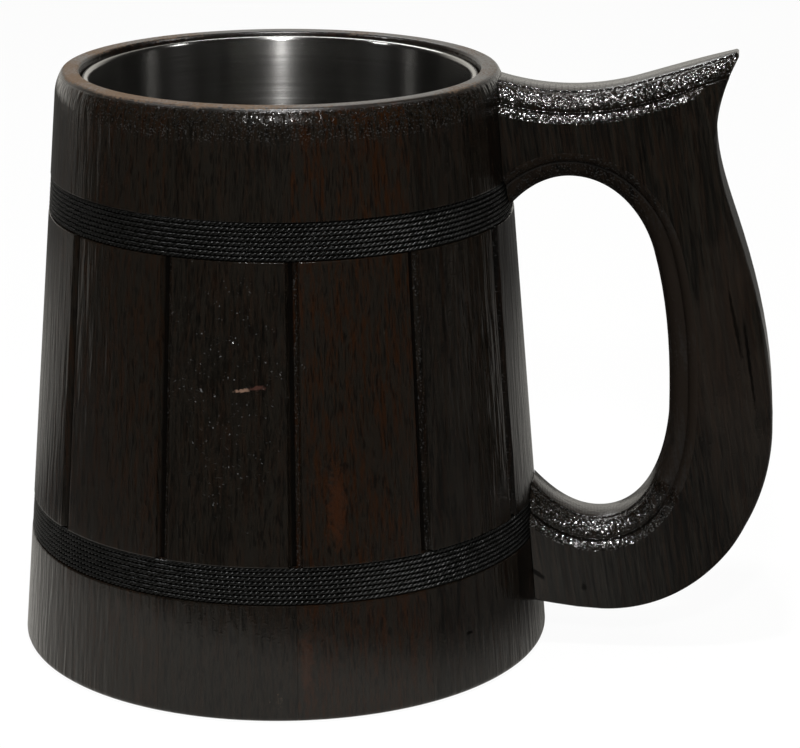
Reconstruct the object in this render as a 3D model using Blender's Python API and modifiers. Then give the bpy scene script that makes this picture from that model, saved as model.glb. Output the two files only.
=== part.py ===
"""Wooden beer mug.

Twelve glued staves make a body that widens towards its base. A steel cup with a rolled lip stands inside it, two
bands of cord lie in turned grooves round it, and a handle sawn from one board, with a routed moulding, is dowelled
to its side.

Metres, +Z up. The origin is the middle of the flat base, and the handle points along +X.
"""

import math

import bmesh
import bpy
from mathutils import Matrix, Vector
from mathutils.geometry import interpolate_bezier

# Fits
CLEARANCE = 0.0003  # gap left by every glue line and seat
SHORTEST_EDGE = 0.000005  # what a cut leaves below this is merged away

# Body of staves
BODY_HEIGHT = 0.140
BASE_RADIUS = 0.0645
RIM_RADIUS = 0.0528  # of the cone, carried up to the rim
RIM_ROUND = 0.0024
RIM_INNER_ROUND = 0.0008
BASE_ROUND = 0.0016
STAVE_COUNT = 12
FIRST_JOINT_ANGLE = math.radians(10.5)  # from the handle to the nearest joint of two staves
JOINT_GROOVE_RADIUS = 0.0012

RIM_WALL = 0.0055  # wood left outside the pocket for the cup's lip

# Bottom
BOTTOM_LEDGE = 0.0042  # how far the bottom reaches under the staves
BOTTOM_THICKNESS = 0.0160
BOTTOM_CHAMFER = 0.0006

# Steel cup
CUP_WALL = 0.0007
CUP_CORNER = 0.0060
LIP_RADIUS = 0.00095
LIP_DROP = 0.0005  # from the wooden rim down to the top of the lip
SEAL_HEIGHT = 0.0007

# Cord bands
CORD_DIAMETER = 0.00066
CORD_PITCH = 0.0011
CORD_TURNS = 8
LOWER_BAND_HEIGHT = 0.0278
UPPER_BAND_DROP = 0.0241

# Handle: heights are from the base, drops are from the rim, and outs are from the body's surface
HANDLE_THICKNESS = 0.0212
HANDLE_EDGE_ROUND = 0.0008
TROUGH_OUT = 0.0150
TROUGH_DROP = 0.0032
TROUGH_RADIUS = 0.0580
RAMP_ANGLE = math.radians(17)
TIP_OUT = 0.0554
TIP_ROUND = 0.0013
TIP_HEADING = math.radians(-118)
WAIST_OUT = 0.0493
WAIST_DROP = 0.0116
SHOULDER_OUT = 0.0529
SHOULDER_DROP = 0.0348
SHOULDER_HEADING = math.radians(-70.5)
GRIP_GAP = 0.0343
GRIP_HEIGHT = 0.0608
GRIP_WIDTH = 0.0243
BELLY_HEIGHT = 0.0560
HEEL_OUT = 0.0151
HEEL_HEIGHT = 0.0105
FOOT_HEIGHT = 0.0130
FLOOR_OUT = 0.0148
FLOOR_HEIGHT = 0.0319
FLOOR_END_OUT = 0.0
FLOOR_END_HEIGHT = 0.0402
FLOOR_END_HEADING = math.radians(-46)
GRIP_TOP_OUT = 0.0330
GRIP_TOP_DROP = 0.0411
GRIP_TOP_HEADING = math.radians(106)
ARCH_OUT = 0.0144
ARCH_DROP = 0.0235
ARCH_END_OUT = 0.0014
ARCH_END_DROP = 0.0292
ARCH_END_HEADING = math.radians(225)
ROOT_DEPTH = 0.0080  # how far the board runs into the cone before its ends are coped

# Moulding, cut by a router bit that runs along the edge on a bearing
BEARING_RADIUS = 0.0060
QUIRK = 0.0004
LARGE_ROUND = 0.0032
MOULDING_STEP = 0.0006
SMALL_ROUND = 0.0021
SMALL_ROUND_START = math.radians(8)
RUN_OUT_OUT = 0.0400  # where the small round stops short of the tip

# Dowels
DOWEL_RADIUS = 0.0025
DOWEL_CHAMFER = 0.0005
DOWEL_IN_HANDLE = 0.0120
DOWEL_IN_STAVE = 0.0050
UPPER_DOWEL_DROPS = (0.0085, 0.0195)
LOWER_DOWEL_HEIGHTS = (0.0160, 0.0235)

# Facets
STAVE_STEPS = 5
TURN_STEPS = STAVE_COUNT * STAVE_STEPS
LOOP_POINTS = 24
COPE_STEPS = 96
DOWEL_SIDES = 16
GROOVE_SIDES = 10
ROUND_STEPS = 3
FACET_ANGLE = math.radians(7.5)

# Sizes that follow
TAPER = math.atan((BASE_RADIUS - RIM_RADIUS) / BODY_HEIGHT)
STAVE_ANGLE = 2 * math.pi / STAVE_COUNT
POCKET_RADIUS = RIM_RADIUS - RIM_WALL
CUP_RADIUS = POCKET_RADIUS - CLEARANCE - 2 * LIP_RADIUS  # inside
BORE_RADIUS = CUP_RADIUS + CUP_WALL + CLEARANCE
LIP_TOP = BODY_HEIGHT - LIP_DROP
LIP_BOTTOM = LIP_TOP - 2 * LIP_RADIUS
LEDGE_HEIGHT = LIP_BOTTOM - SEAL_HEIGHT - 2 * CLEARANCE
BOTTOM_SEAT_RADIUS = BORE_RADIUS + BOTTOM_LEDGE
BOTTOM_RADIUS = BOTTOM_SEAT_RADIUS - CLEARANCE
BOTTOM_SEAT_HEIGHT = BOTTOM_THICKNESS + CLEARANCE
CORD_SAG = BASE_RADIUS * (1 - math.cos(math.pi / LOOP_POINTS))
BAND_DEPTH = CORD_DIAMETER + CORD_SAG + CLEARANCE
BAND_WIDTH = (CORD_TURNS - 1) * CORD_PITCH + CORD_DIAMETER + 2 * CLEARANCE
LOWER_BAND = (LOWER_BAND_HEIGHT, LOWER_BAND_HEIGHT + BAND_WIDTH)
UPPER_BAND = (BODY_HEIGHT - UPPER_BAND_DROP - BAND_WIDTH, BODY_HEIGHT - UPPER_BAND_DROP)
HALF_FLAT = HANDLE_THICKNESS / 2 - LARGE_ROUND - SMALL_ROUND


def body_radius(height):
    """Radius of the tapered outside of the body."""
    return BASE_RADIUS + (RIM_RADIUS - BASE_RADIUS) * height / BODY_HEIGHT


def arc(centre, radius, start, end, steps):
    """Points of an arc in a plane, both ends included."""
    angles = [start + (end - start) * i / steps for i in range(steps + 1)]
    return [(centre[0] + radius * math.cos(a), centre[1] + radius * math.sin(a)) for a in angles]


def heading_vector(heading):
    """Unit vector in the handle's plane."""
    return Vector((math.cos(heading), math.sin(heading)))


def flow(stations):
    """Points of a smooth line through stations, each a point and a heading, in arc-like stretches."""
    points = []
    for (start, start_heading), (end, end_heading) in zip(stations, stations[1:]):
        turn = abs(math.remainder(end_heading - start_heading, 2 * math.pi))
        reach = (end - start).length / (3 * math.cos(turn / 4) ** 2)
        start_handle = start + heading_vector(start_heading) * reach
        end_handle = end - heading_vector(end_heading) * reach
        steps = 1 + int(turn / FACET_ANGLE)
        points += interpolate_bezier(start, start_handle, end_handle, end, steps + 1)[:-1]
    return [point.xy for point in points] + [stations[-1][0]]


def out_point(out, height):
    """Point of the handle's plane that lies a distance out from the body."""
    return Vector((body_radius(height) + out, height))


def drop_point(out, drop):
    """The same, for a height that is counted down from the rim."""
    return out_point(out, BODY_HEIGHT - drop)


# Scene helpers


def clear_scene():
    """Remove what the scene holds."""
    for item in list(bpy.data.objects):
        bpy.data.objects.remove(item, do_unlink=True)


def new_collection(name):
    """Collection in the scene."""
    collection = bpy.data.collections.new(name)
    bpy.context.scene.collection.children.link(collection)
    return collection


def new_material(name, colour, roughness, metallic=0.0):
    """Principled material of one colour."""
    material = bpy.data.materials.new(name)
    material.use_nodes = True
    shader = material.node_tree.nodes["Principled BSDF"]
    shader.inputs["Base Color"].default_value = (*colour, 1.0)
    shader.inputs["Roughness"].default_value = roughness
    shader.inputs["Metallic"].default_value = metallic
    return material


def new_object(name, data, collection):
    """Object linked to a collection."""
    item = bpy.data.objects.new(name, data)
    collection.objects.link(item)
    return item


def mesh_from(name, bm):
    """Mesh of a bmesh, which is freed."""
    bmesh.ops.recalc_face_normals(bm, faces=bm.faces)
    mesh = bpy.data.meshes.new(name)
    bm.to_mesh(mesh)
    bm.free()
    return mesh


def baked_mesh(item):
    """The evaluated mesh of an object, with its doubles and its slivers merged."""
    bpy.context.view_layer.update()
    evaluated = item.evaluated_get(bpy.context.evaluated_depsgraph_get())
    mesh = bpy.data.meshes.new_from_object(evaluated)
    bm = bmesh.new()
    bm.from_mesh(mesh)
    bmesh.ops.remove_doubles(bm, verts=bm.verts, dist=SHORTEST_EDGE)
    bmesh.ops.dissolve_degenerate(bm, dist=SHORTEST_EDGE, edges=bm.edges)
    bmesh.ops.recalc_face_normals(bm, faces=bm.faces)
    bm.to_mesh(mesh)
    bm.free()
    return mesh


def as_cutter(item):
    """Show an object as a wire only, and keep it out of the part."""
    item.display_type = "WIRE"
    item.hide_render = True
    return item


def cut(item, cutter):
    """Take a cutter's shape out of an object."""
    boolean = item.modifiers.new(cutter.name, "BOOLEAN")
    boolean.operation = "DIFFERENCE"
    boolean.solver = "EXACT"
    boolean.object = cutter


def round_shading(mesh):
    """Smooth shading, with the edges kept."""
    mesh.shade_smooth()
    mesh.set_sharp_from_angle(angle=math.radians(35))


def turned(name, profile, collection, closed=False):
    """Solid of revolution about Z, from a profile that runs down its outer side."""
    mesh = bpy.data.meshes.new(name)
    edges = [(i, i + 1) for i in range(len(profile) - 1)]
    if closed:
        edges.append((len(profile) - 1, 0))
    mesh.from_pydata([(r, 0, z) for r, z in profile], edges, [])
    item = new_object(name, mesh, collection)
    screw = item.modifiers.new("turn", "SCREW")
    screw.axis = "Z"
    screw.angle = 2 * math.pi
    screw.steps = TURN_STEPS
    screw.render_steps = TURN_STEPS
    screw.use_merge_vertices = True
    screw.merge_threshold = 1e-6
    return item


def bar(name, start, end, radius, sides, collection):
    """Round bar between two points."""
    bm = bmesh.new()
    run = end - start
    place = Matrix.Translation((start + end) / 2) @ run.to_track_quat("Z", "X").to_matrix().to_4x4()
    bmesh.ops.create_cone(
        bm, cap_ends=True, segments=sides, radius1=radius, radius2=radius, depth=run.length, matrix=place
    )
    return new_object(name, mesh_from(name, bm), collection)


# Staves


def band_notch(band):
    """Profile of the groove that a cord band lies in, from its upper edge down."""
    low, high = band
    return [
        (body_radius(high), high),
        (body_radius(high) - BAND_DEPTH, high),
        (body_radius(low) - BAND_DEPTH, low),
        (body_radius(low), low),
    ]


def stave_profile():
    """Section of the body's wall: over the rim, down the outside, under the base and up the inside."""
    rim_centre = (
        RIM_RADIUS + RIM_ROUND * (math.tan(TAPER) - 1 / math.cos(TAPER)),
        BODY_HEIGHT - RIM_ROUND,
    )
    base_centre = (body_radius(BASE_ROUND) - BASE_ROUND / math.cos(TAPER), BASE_ROUND)
    inner_centre = (POCKET_RADIUS + RIM_INNER_ROUND, BODY_HEIGHT - RIM_INNER_ROUND)
    quarter = math.pi / 2
    profile = arc(inner_centre, RIM_INNER_ROUND, math.pi, quarter, 2)
    profile += arc(rim_centre, RIM_ROUND, quarter, TAPER, 4)
    profile += band_notch(UPPER_BAND)
    profile += band_notch(LOWER_BAND)
    profile += arc(base_centre, BASE_ROUND, TAPER, -quarter, 3)
    profile += [
        (BOTTOM_SEAT_RADIUS, 0),
        (BOTTOM_SEAT_RADIUS, BOTTOM_SEAT_HEIGHT),
        (BORE_RADIUS, BOTTOM_SEAT_HEIGHT),
        (BORE_RADIUS, LEDGE_HEIGHT),
        (POCKET_RADIUS, LEDGE_HEIGHT),
    ]
    return profile


def stave_mesh(cutters):
    """One stave about the XZ plane, with half of a routed groove along each joint."""
    sweep = STAVE_ANGLE - CLEARANCE / RIM_RADIUS
    bm = bmesh.new()
    face = bm.faces.new([bm.verts.new((r, 0, z)) for r, z in stave_profile()])
    bmesh.ops.rotate(bm, verts=bm.verts, matrix=Matrix.Rotation(-sweep / 2, 3, "Z"))
    section = [face, *face.edges, *face.verts]
    bmesh.ops.spin(bm, geom=section, axis=(0, 0, 1), angle=sweep, steps=STAVE_STEPS)
    bmesh.ops.holes_fill(bm, edges=[e for e in bm.edges if e.is_boundary], sides=0)
    blank = new_object("stave_blank", mesh_from("stave_blank", bm), cutters)

    low = LOWER_BAND[1] - BAND_DEPTH / 2
    high = UPPER_BAND[0] + BAND_DEPTH / 2
    for side in (-1, 1):
        turn = Matrix.Rotation(side * STAVE_ANGLE / 2, 3, "Z")
        start = turn @ Vector((body_radius(low), 0, low))
        end = turn @ Vector((body_radius(high), 0, high))
        groove = bar("joint_groove", start, end, JOINT_GROOVE_RADIUS, GROOVE_SIDES, cutters)
        cut(blank, as_cutter(groove))
    mesh = baked_mesh(blank)
    bpy.data.objects.remove(blank)
    round_shading(mesh)
    return mesh


def build_staves(parts, cutters, dowel_holes, wood):
    """The ring of staves; the one behind the handle is bored for the dowels."""
    mesh = stave_mesh(cutters)
    mesh.materials.append(wood)
    for i in range(STAVE_COUNT):
        stave = new_object(f"stave_{i + 1:02d}", mesh, parts)
        stave.rotation_euler.z = FIRST_JOINT_ANGLE + (i - 0.5) * STAVE_ANGLE
        if i == 0:
            for hole in dowel_holes:
                cut(stave, hole)


# Bottom, cup and seal


def build_bottom(parts, wood):
    """Disc let into the staves from below, flush with the base."""
    edge = BOTTOM_RADIUS - BOTTOM_CHAMFER
    profile = [
        (0, BOTTOM_THICKNESS),
        (edge, BOTTOM_THICKNESS),
        (BOTTOM_RADIUS, BOTTOM_THICKNESS - BOTTOM_CHAMFER),
        (BOTTOM_RADIUS, BOTTOM_CHAMFER),
        (edge, 0),
        (0, 0),
    ]
    disc = turned("bottom_disc", profile, parts)
    disc.data.materials.append(wood)


def build_cup(parts, steel):
    """Steel cup with a rolled lip, standing on the bottom."""
    underside = BOTTOM_SEAT_HEIGHT
    inside = underside + CUP_WALL
    corner_centre = (CUP_RADIUS - CUP_CORNER, inside + CUP_CORNER)
    lip_centre = (CUP_RADIUS + LIP_RADIUS, LIP_TOP - LIP_RADIUS)
    lip_end = -math.acos((CUP_WALL - LIP_RADIUS) / LIP_RADIUS)
    quarter = math.pi / 2
    profile = [(0, inside)]
    profile += arc(corner_centre, CUP_CORNER, -quarter, 0, 4)
    profile += arc(lip_centre, LIP_RADIUS, math.pi, lip_end, 8)
    profile += arc(corner_centre, CUP_CORNER + CUP_WALL, 0, -quarter, 4)
    profile += [(0, underside)]
    cup = turned("steel_liner", profile, parts)
    cup.data.materials.append(steel)


def build_seal(parts, rubber):
    """Bead of sealant on the ledge, under the lip."""
    inner = BORE_RADIUS
    outer = POCKET_RADIUS - CLEARANCE
    low = LEDGE_HEIGHT + CLEARANCE
    high = low + SEAL_HEIGHT
    profile = [(inner, high), (outer, high), (outer, low), (inner, low)]
    seal = turned("lip_seal", profile, parts, closed=True)
    seal.data.materials.append(rubber)


# Cord bands


def cord_points(lowest):
    """Path of a winding: level turns, each of which climbs to the next behind the handle."""
    step = 2 * math.pi / LOOP_POINTS
    points = []
    for turn in range(CORD_TURNS):
        height = lowest + turn * CORD_PITCH
        radius = body_radius(height) - CORD_DIAMETER / 2
        for i in range(LOOP_POINTS):
            angle = (i + 0.5) * step
            points.append(Vector((radius * math.cos(angle), radius * math.sin(angle), height)))
    first_run = (points[1] - points[0]).normalized() * CORD_DIAMETER
    last_run = (points[-1] - points[-2]).normalized() * CORD_DIAMETER
    return [points[0], points[0] + first_run, *points[1:-1], points[-1] - last_run, points[-1]]


def least_gap(points):
    """Smallest distance between the surfaces of two turns, measured on the path's points."""
    apart = LOOP_POINTS // 2
    nearest = min((a - b).length for i, a in enumerate(points) for b in points[i + apart :])
    return nearest - CORD_DIAMETER


def build_cord(name, band, parts, thread):
    """One winding, an unbroken tube in its groove."""
    points = cord_points(band[0] + CLEARANCE + CORD_DIAMETER / 2)
    print(f"{name}: least gap between turns {least_gap(points) * 1000:.2f} mm")
    curve = bpy.data.curves.new(name, "CURVE")
    curve.dimensions = "3D"
    curve.bevel_depth = CORD_DIAMETER / 2
    curve.bevel_resolution = 1
    curve.use_fill_caps = True
    spline = curve.splines.new("POLY")
    spline.points.add(len(points) - 1)
    for knot, point in zip(spline.points, points):
        knot.co = (*point, 1)
    curve.materials.append(thread)
    new_object(name, curve, parts)


# Handle


def top_edge():
    """The top of the handle, from inside the body over the trough and up the ramp to the tip's corner."""
    trough = drop_point(TROUGH_OUT, TROUGH_DROP)
    start_x = body_radius(BODY_HEIGHT) - ROOT_DEPTH
    start_angle = -math.asin(min(1, (trough.x - start_x) / TROUGH_RADIUS))
    centre = trough + Vector((0, TROUGH_RADIUS))
    quarter = math.pi / 2
    steps = 2 + int((RAMP_ANGLE - start_angle) / (FACET_ANGLE / 2))
    points = [
        Vector(p) for p in arc(centre, TROUGH_RADIUS, start_angle - quarter, RAMP_ANGLE - quarter, steps)
    ]
    tip_x = body_radius(BODY_HEIGHT) + TIP_OUT
    ramp_run = (tip_x - points[-1].x) / math.cos(RAMP_ANGLE)
    return points, points[-1] + heading_vector(RAMP_ANGLE) * ramp_run


def outer_edge(tip):
    """Round the tip, down the neck and the belly, and along the underside into the body."""
    belly_out = GRIP_GAP + GRIP_WIDTH
    foot = out_point(-ROOT_DEPTH, FOOT_HEIGHT)
    heel = out_point(HEEL_OUT, HEEL_HEIGHT)
    foot_heading = math.atan2(foot.y - heel.y, foot.x - heel.x)
    return flow(
        [
            (tip - heading_vector(RAMP_ANGLE) * TIP_ROUND, RAMP_ANGLE),
            (tip + heading_vector(TIP_HEADING) * TIP_ROUND, TIP_HEADING),
            (drop_point(WAIST_OUT, WAIST_DROP), math.radians(-90)),
            (drop_point(SHOULDER_OUT, SHOULDER_DROP), SHOULDER_HEADING),
            (out_point(belly_out, BELLY_HEIGHT), math.radians(-90)),
            (heel, math.radians(-180)),
            (foot, foot_heading),
        ]
    )


def loop_edge():
    """The finger loop, from inside the body along its floor, up the grip and over its arch into the body."""
    floor_end = out_point(FLOOR_END_OUT, FLOOR_END_HEIGHT)
    arch_end = drop_point(ARCH_END_OUT, ARCH_END_DROP)
    return flow(
        [
            (floor_end - heading_vector(FLOOR_END_HEADING) * ROOT_DEPTH, FLOOR_END_HEADING),
            (floor_end, FLOOR_END_HEADING),
            (out_point(FLOOR_OUT, FLOOR_HEIGHT), 0.0),
            (out_point(GRIP_GAP, GRIP_HEIGHT), math.radians(90)),
            (drop_point(GRIP_TOP_OUT, GRIP_TOP_DROP), GRIP_TOP_HEADING),
            (drop_point(ARCH_OUT, ARCH_DROP), math.radians(180)),
            (arch_end, ARCH_END_HEADING),
            (arch_end + heading_vector(ARCH_END_HEADING) * ROOT_DEPTH, ARCH_END_HEADING),
        ]
    )


def plane_curve(name, points, cyclic, collection):
    """Flat curve in the handle's plane, X outwards and Y up, stood upright."""
    curve = bpy.data.curves.new(name, "CURVE")
    curve.dimensions = "2D"
    spline = curve.splines.new("POLY")
    spline.points.add(len(points) - 1)
    for knot, point in zip(spline.points, points):
        knot.co = (point[0], point[1], 0, 1)
    spline.use_cyclic_u = cyclic
    item = new_object(name, curve, collection)
    item.rotation_euler.x = math.pi / 2
    return item


def solid_of(item, collection):
    """Mesh object in the place of a curve object, which is removed."""
    mesh = baked_mesh(item)
    solid = new_object(item.name + "_solid", mesh, collection)
    solid.matrix_world = item.matrix_world
    bpy.data.objects.remove(item)
    return solid


def large_round_profile():
    """Half of the bit that cuts the quirk and the large round, as distance from the edge and depth in the face."""
    depth = LARGE_ROUND + SMALL_ROUND
    centre = (QUIRK + LARGE_ROUND, depth)
    outline = [(-QUIRK, depth)]
    outline += arc(centre, LARGE_ROUND, math.pi, 1.5 * math.pi, ROUND_STEPS + 1)
    step_end = QUIRK + LARGE_ROUND + MOULDING_STEP
    return outline + [(step_end, SMALL_ROUND), (step_end, -SMALL_ROUND)]


def small_round_profile():
    """Half of the bit that cuts the small round beyond the step."""
    step_end = QUIRK + LARGE_ROUND + MOULDING_STEP
    centre = (step_end + SMALL_ROUND, SMALL_ROUND)
    start = math.pi + SMALL_ROUND_START
    outline = arc(centre, SMALL_ROUND, start, 1.5 * math.pi, ROUND_STEPS)
    approach = (step_end - MOULDING_STEP / 2, outline[0][1])
    return [(-QUIRK, outline[0][1]), approach] + outline + [(step_end + SMALL_ROUND, -SMALL_ROUND)]


def routed(name, edge, half_profile, run_out, cutters):
    """Cutter that a bit sweeps along an edge on both faces of the board, the board being on the right."""
    half = HANDLE_THICKNESS / 2
    back = BEARING_RADIUS - 2 * QUIRK
    upper = [(BEARING_RADIUS + distance, half - depth) for distance, depth in half_profile]
    upper.append((back, upper[-1][1]))
    lower = [(u, -v) for u, v in reversed(upper)]
    profile = as_cutter(plane_curve(name + "_bit", upper + lower, True, cutters))

    # The bit turns between the corners of the sawn edge, so that no corner of one falls on a corner of the other
    stops = [edge[0], *((a + b) / 2 for a, b in zip(edge, edge[1:])), edge[-1]]
    headings = [(b - a).normalized() for a, b in zip(stops, stops[1:])]
    path = []
    for i, point in enumerate(stops):
        along = (headings[max(i - 1, 0)] + headings[min(i, len(headings) - 1)]).normalized()
        path.append(point + Vector((-along.y, along.x)) * BEARING_RADIUS)
    if run_out:
        path += turn_off(path[-1], math.atan2(headings[-1].y, headings[-1].x))
    sweep = plane_curve(name, path, False, cutters)
    sweep.data.fill_mode = "NONE"
    sweep.data.bevel_mode = "OBJECT"
    sweep.data.bevel_object = profile
    sweep.data.use_fill_caps = True
    return as_cutter(solid_of(sweep, cutters))


def turn_off(end, heading):
    """Tight left turn at the end of a cut, which leaves the bit's round mark in the face."""
    radius = QUIRK / 4
    quarter = math.pi / 2
    centre = end + heading_vector(heading + quarter) * radius
    return [Vector(p) for p in arc(centre, radius, heading - quarter, heading + quarter / 2, 10)[1:]]


def cope_cutter(cutters):
    """The body's cone, a clearance larger, that the handle's ends are coped to."""
    low = -BASE_RADIUS
    high = BODY_HEIGHT + BASE_RADIUS
    half_facet = Matrix.Rotation(math.pi / COPE_STEPS, 4, "Z")
    bm = bmesh.new()
    bmesh.ops.create_cone(
        bm,
        cap_ends=True,
        segments=COPE_STEPS,
        radius1=body_radius(low) + CLEARANCE,
        radius2=body_radius(high) + CLEARANCE,
        depth=high - low,
        matrix=Matrix.Translation((0, 0, (low + high) / 2)) @ half_facet,
    )
    return as_cutter(new_object("cope", mesh_from("cope", bm), cutters))


def build_handle(parts, cutters, dowel_holes, wood):
    """Board sawn to its outline, moulded on its top edge and finger loop, coped to the body and bored."""
    top, tip = top_edge()
    loop = loop_edge()
    board = plane_curve("handle_board", top + outer_edge(tip) + loop, True, cutters)
    board.data.fill_mode = "BOTH"
    board.data.extrude = HANDLE_THICKNESS / 2 - HANDLE_EDGE_ROUND
    board.data.bevel_depth = HANDLE_EDGE_ROUND
    board.data.bevel_resolution = 1
    board.data.offset = -HANDLE_EDGE_ROUND
    handle = solid_of(board, parts)
    handle.name = "handle"
    handle.data.materials.append(wood)

    past_tip = tip + heading_vector(RAMP_ANGLE) * BEARING_RADIUS
    run_out_x = body_radius(BODY_HEIGHT) + RUN_OUT_OUT
    stop = top[-1] + heading_vector(RAMP_ANGLE) * (run_out_x - top[-1].x) / math.cos(RAMP_ANGLE)
    cuts = [
        cope_cutter(cutters),
        routed("top_large_round", top + [past_tip], large_round_profile(), False, cutters),
        routed("top_small_round", top + [stop], small_round_profile(), True, cutters),
        routed("loop_large_round", loop, large_round_profile(), False, cutters),
        routed("loop_small_round", loop, small_round_profile(), False, cutters),
    ]
    for cutter in cuts + dowel_holes:
        cut(handle, cutter)
        handle.data = baked_mesh(handle)
        handle.modifiers.clear()
    round_shading(handle.data)


# Dowels


def dowel_heights():
    """Heights of the dowels, from the top one down."""
    return [BODY_HEIGHT - drop for drop in UPPER_DOWEL_DROPS] + list(reversed(LOWER_DOWEL_HEIGHTS))


def dowel_ends(height, slack):
    """Both ends of a dowel, or of its hole where there is slack."""
    start = body_radius(height) - DOWEL_IN_STAVE - slack
    end = body_radius(height) + DOWEL_IN_HANDLE + slack
    return Vector((start, 0, height)), Vector((end, 0, height))


def build_dowels(parts, cutters, wood):
    """The dowels, and the cutters for their holes."""
    holes = []
    for i, height in enumerate(dowel_heights()):
        dowel = bar(f"dowel_{i + 1}", *dowel_ends(height, 0), DOWEL_RADIUS, DOWEL_SIDES, parts)
        dowel.data.materials.append(wood)
        round_shading(dowel.data)
        chamfer = dowel.modifiers.new("chamfer", "BEVEL")
        chamfer.width = DOWEL_CHAMFER
        chamfer.segments = 1
        chamfer.limit_method = "ANGLE"
        chamfer.angle_limit = math.radians(60)
        hole_radius = DOWEL_RADIUS + CLEARANCE
        ends = dowel_ends(height, CLEARANCE)
        holes.append(as_cutter(bar(f"dowel_hole_{i + 1}", *ends, hole_radius, DOWEL_SIDES, cutters)))
    return holes


def hold_together(parts):
    """Parent every piece to an empty in the middle of the base."""
    pieces = list(parts.objects)
    origin = new_object("mug", None, parts)
    for piece in pieces:
        piece.parent = origin


def main():
    """Build the mug."""
    clear_scene()
    parts = new_collection("wooden_beer_mug")
    cutters = new_collection("cutters")
    stave_wood = new_material("dark_stained_wood", (0.030, 0.020, 0.016), 0.35)
    handle_wood = new_material("dark_handle_wood", (0.034, 0.023, 0.019), 0.35)
    plain_wood = new_material("plain_wood", (0.42, 0.27, 0.15), 0.6)
    steel = new_material("brushed_steel", (0.62, 0.61, 0.60), 0.3, 1.0)
    rubber = new_material("black_sealant", (0.012, 0.012, 0.012), 0.5)
    thread = new_material("black_cord", (0.014, 0.015, 0.016), 0.6)

    dowel_holes = build_dowels(parts, cutters, plain_wood)
    build_staves(parts, cutters, dowel_holes, stave_wood)
    build_bottom(parts, stave_wood)
    build_cup(parts, steel)
    build_seal(parts, rubber)
    build_cord("cord_upper", UPPER_BAND, parts, thread)
    build_cord("cord_lower", LOWER_BAND, parts, thread)
    build_handle(parts, cutters, dowel_holes, handle_wood)
    hold_together(parts)
    bpy.context.view_layer.update()


main()
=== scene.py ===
"""Looks of a wooden beer mug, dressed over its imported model.

Twelve dark stained staves stand round a brushed steel cup. Two bands of twisted cord lie in turned grooves,
and a handle with a routed moulding is coped to the side. Metres, +Z up, the handle along +X.
"""

import logging
import math
from dataclasses import dataclass
from enum import Enum
from functools import reduce
from typing import Any, Optional, Sequence, Union

import bmesh
import bpy
from mathutils import Matrix, Vector, kdtree
from mathutils.geometry import interpolate_bezier


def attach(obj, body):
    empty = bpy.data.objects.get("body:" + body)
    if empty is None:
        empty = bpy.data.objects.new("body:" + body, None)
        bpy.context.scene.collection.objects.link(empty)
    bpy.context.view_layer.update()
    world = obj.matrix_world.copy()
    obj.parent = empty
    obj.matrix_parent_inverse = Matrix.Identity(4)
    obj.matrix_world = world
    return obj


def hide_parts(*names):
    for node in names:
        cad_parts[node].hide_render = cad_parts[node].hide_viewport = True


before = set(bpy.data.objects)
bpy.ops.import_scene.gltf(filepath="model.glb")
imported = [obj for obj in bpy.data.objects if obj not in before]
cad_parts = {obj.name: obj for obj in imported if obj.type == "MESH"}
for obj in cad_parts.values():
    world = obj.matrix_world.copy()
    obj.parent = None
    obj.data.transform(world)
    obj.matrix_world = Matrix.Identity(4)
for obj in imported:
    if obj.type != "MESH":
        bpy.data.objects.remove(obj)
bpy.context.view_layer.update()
LOG = logging.getLogger("beer_mug")

Piece = bpy.types.Object
Socket = bpy.types.NodeSocket
Colour = tuple[float, float, float]
Point = tuple[float, float]
Term = Union["Value", float]
Settings = Optional[dict[str, Any]]
Inputs = Optional[dict[Union[str, int], Any]]

MILLIMETRE = 0.001
WHITE = (1.0, 1.0, 1.0)
PITCH = (0.0010, 0.0008, 0.0007)


class Slot(Enum):
    """Material slots of the record."""

    STAINED = "stained_wood"
    HANDLE = "handle_wood"
    STEEL = "steel"
    SEALANT = "sealant"
    CORD = "cord"


class Domain(Enum):
    """What a vector is painted on."""

    POINT = "POINT"
    FACE = "FACE"


class Ray(Enum):
    """Kinds of ray that a shader tells apart."""

    CAMERA = "Is Camera Ray"
    GLOSSY = "Is Glossy Ray"
    THROUGH = "Is Transmission Ray"


# Shader expressions


class Value:
    """A number in a shader. Arithmetic on it adds Math nodes."""

    def __init__(self, graph: "Graph", socket: Socket) -> None:
        """Wrap an output that gives a number."""
        self.graph = graph
        self.socket = socket

    def __add__(self, other: Term) -> "Value":
        """Sum."""
        return self.graph.math("ADD", self, other)

    def __sub__(self, other: Term) -> "Value":
        """Difference."""
        return self.graph.math("SUBTRACT", self, other)

    def __rsub__(self, other: Term) -> "Value":
        """Difference, with the number first."""
        return self.graph.math("SUBTRACT", other, self)

    def __mul__(self, other: Term) -> "Value":
        """Product."""
        return self.graph.math("MULTIPLY", self, other)

    def most(self, other: Term) -> "Value":
        """The larger of two numbers."""
        return self.graph.math("MAXIMUM", self, other)

    __radd__ = __add__
    __rmul__ = __mul__


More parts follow.
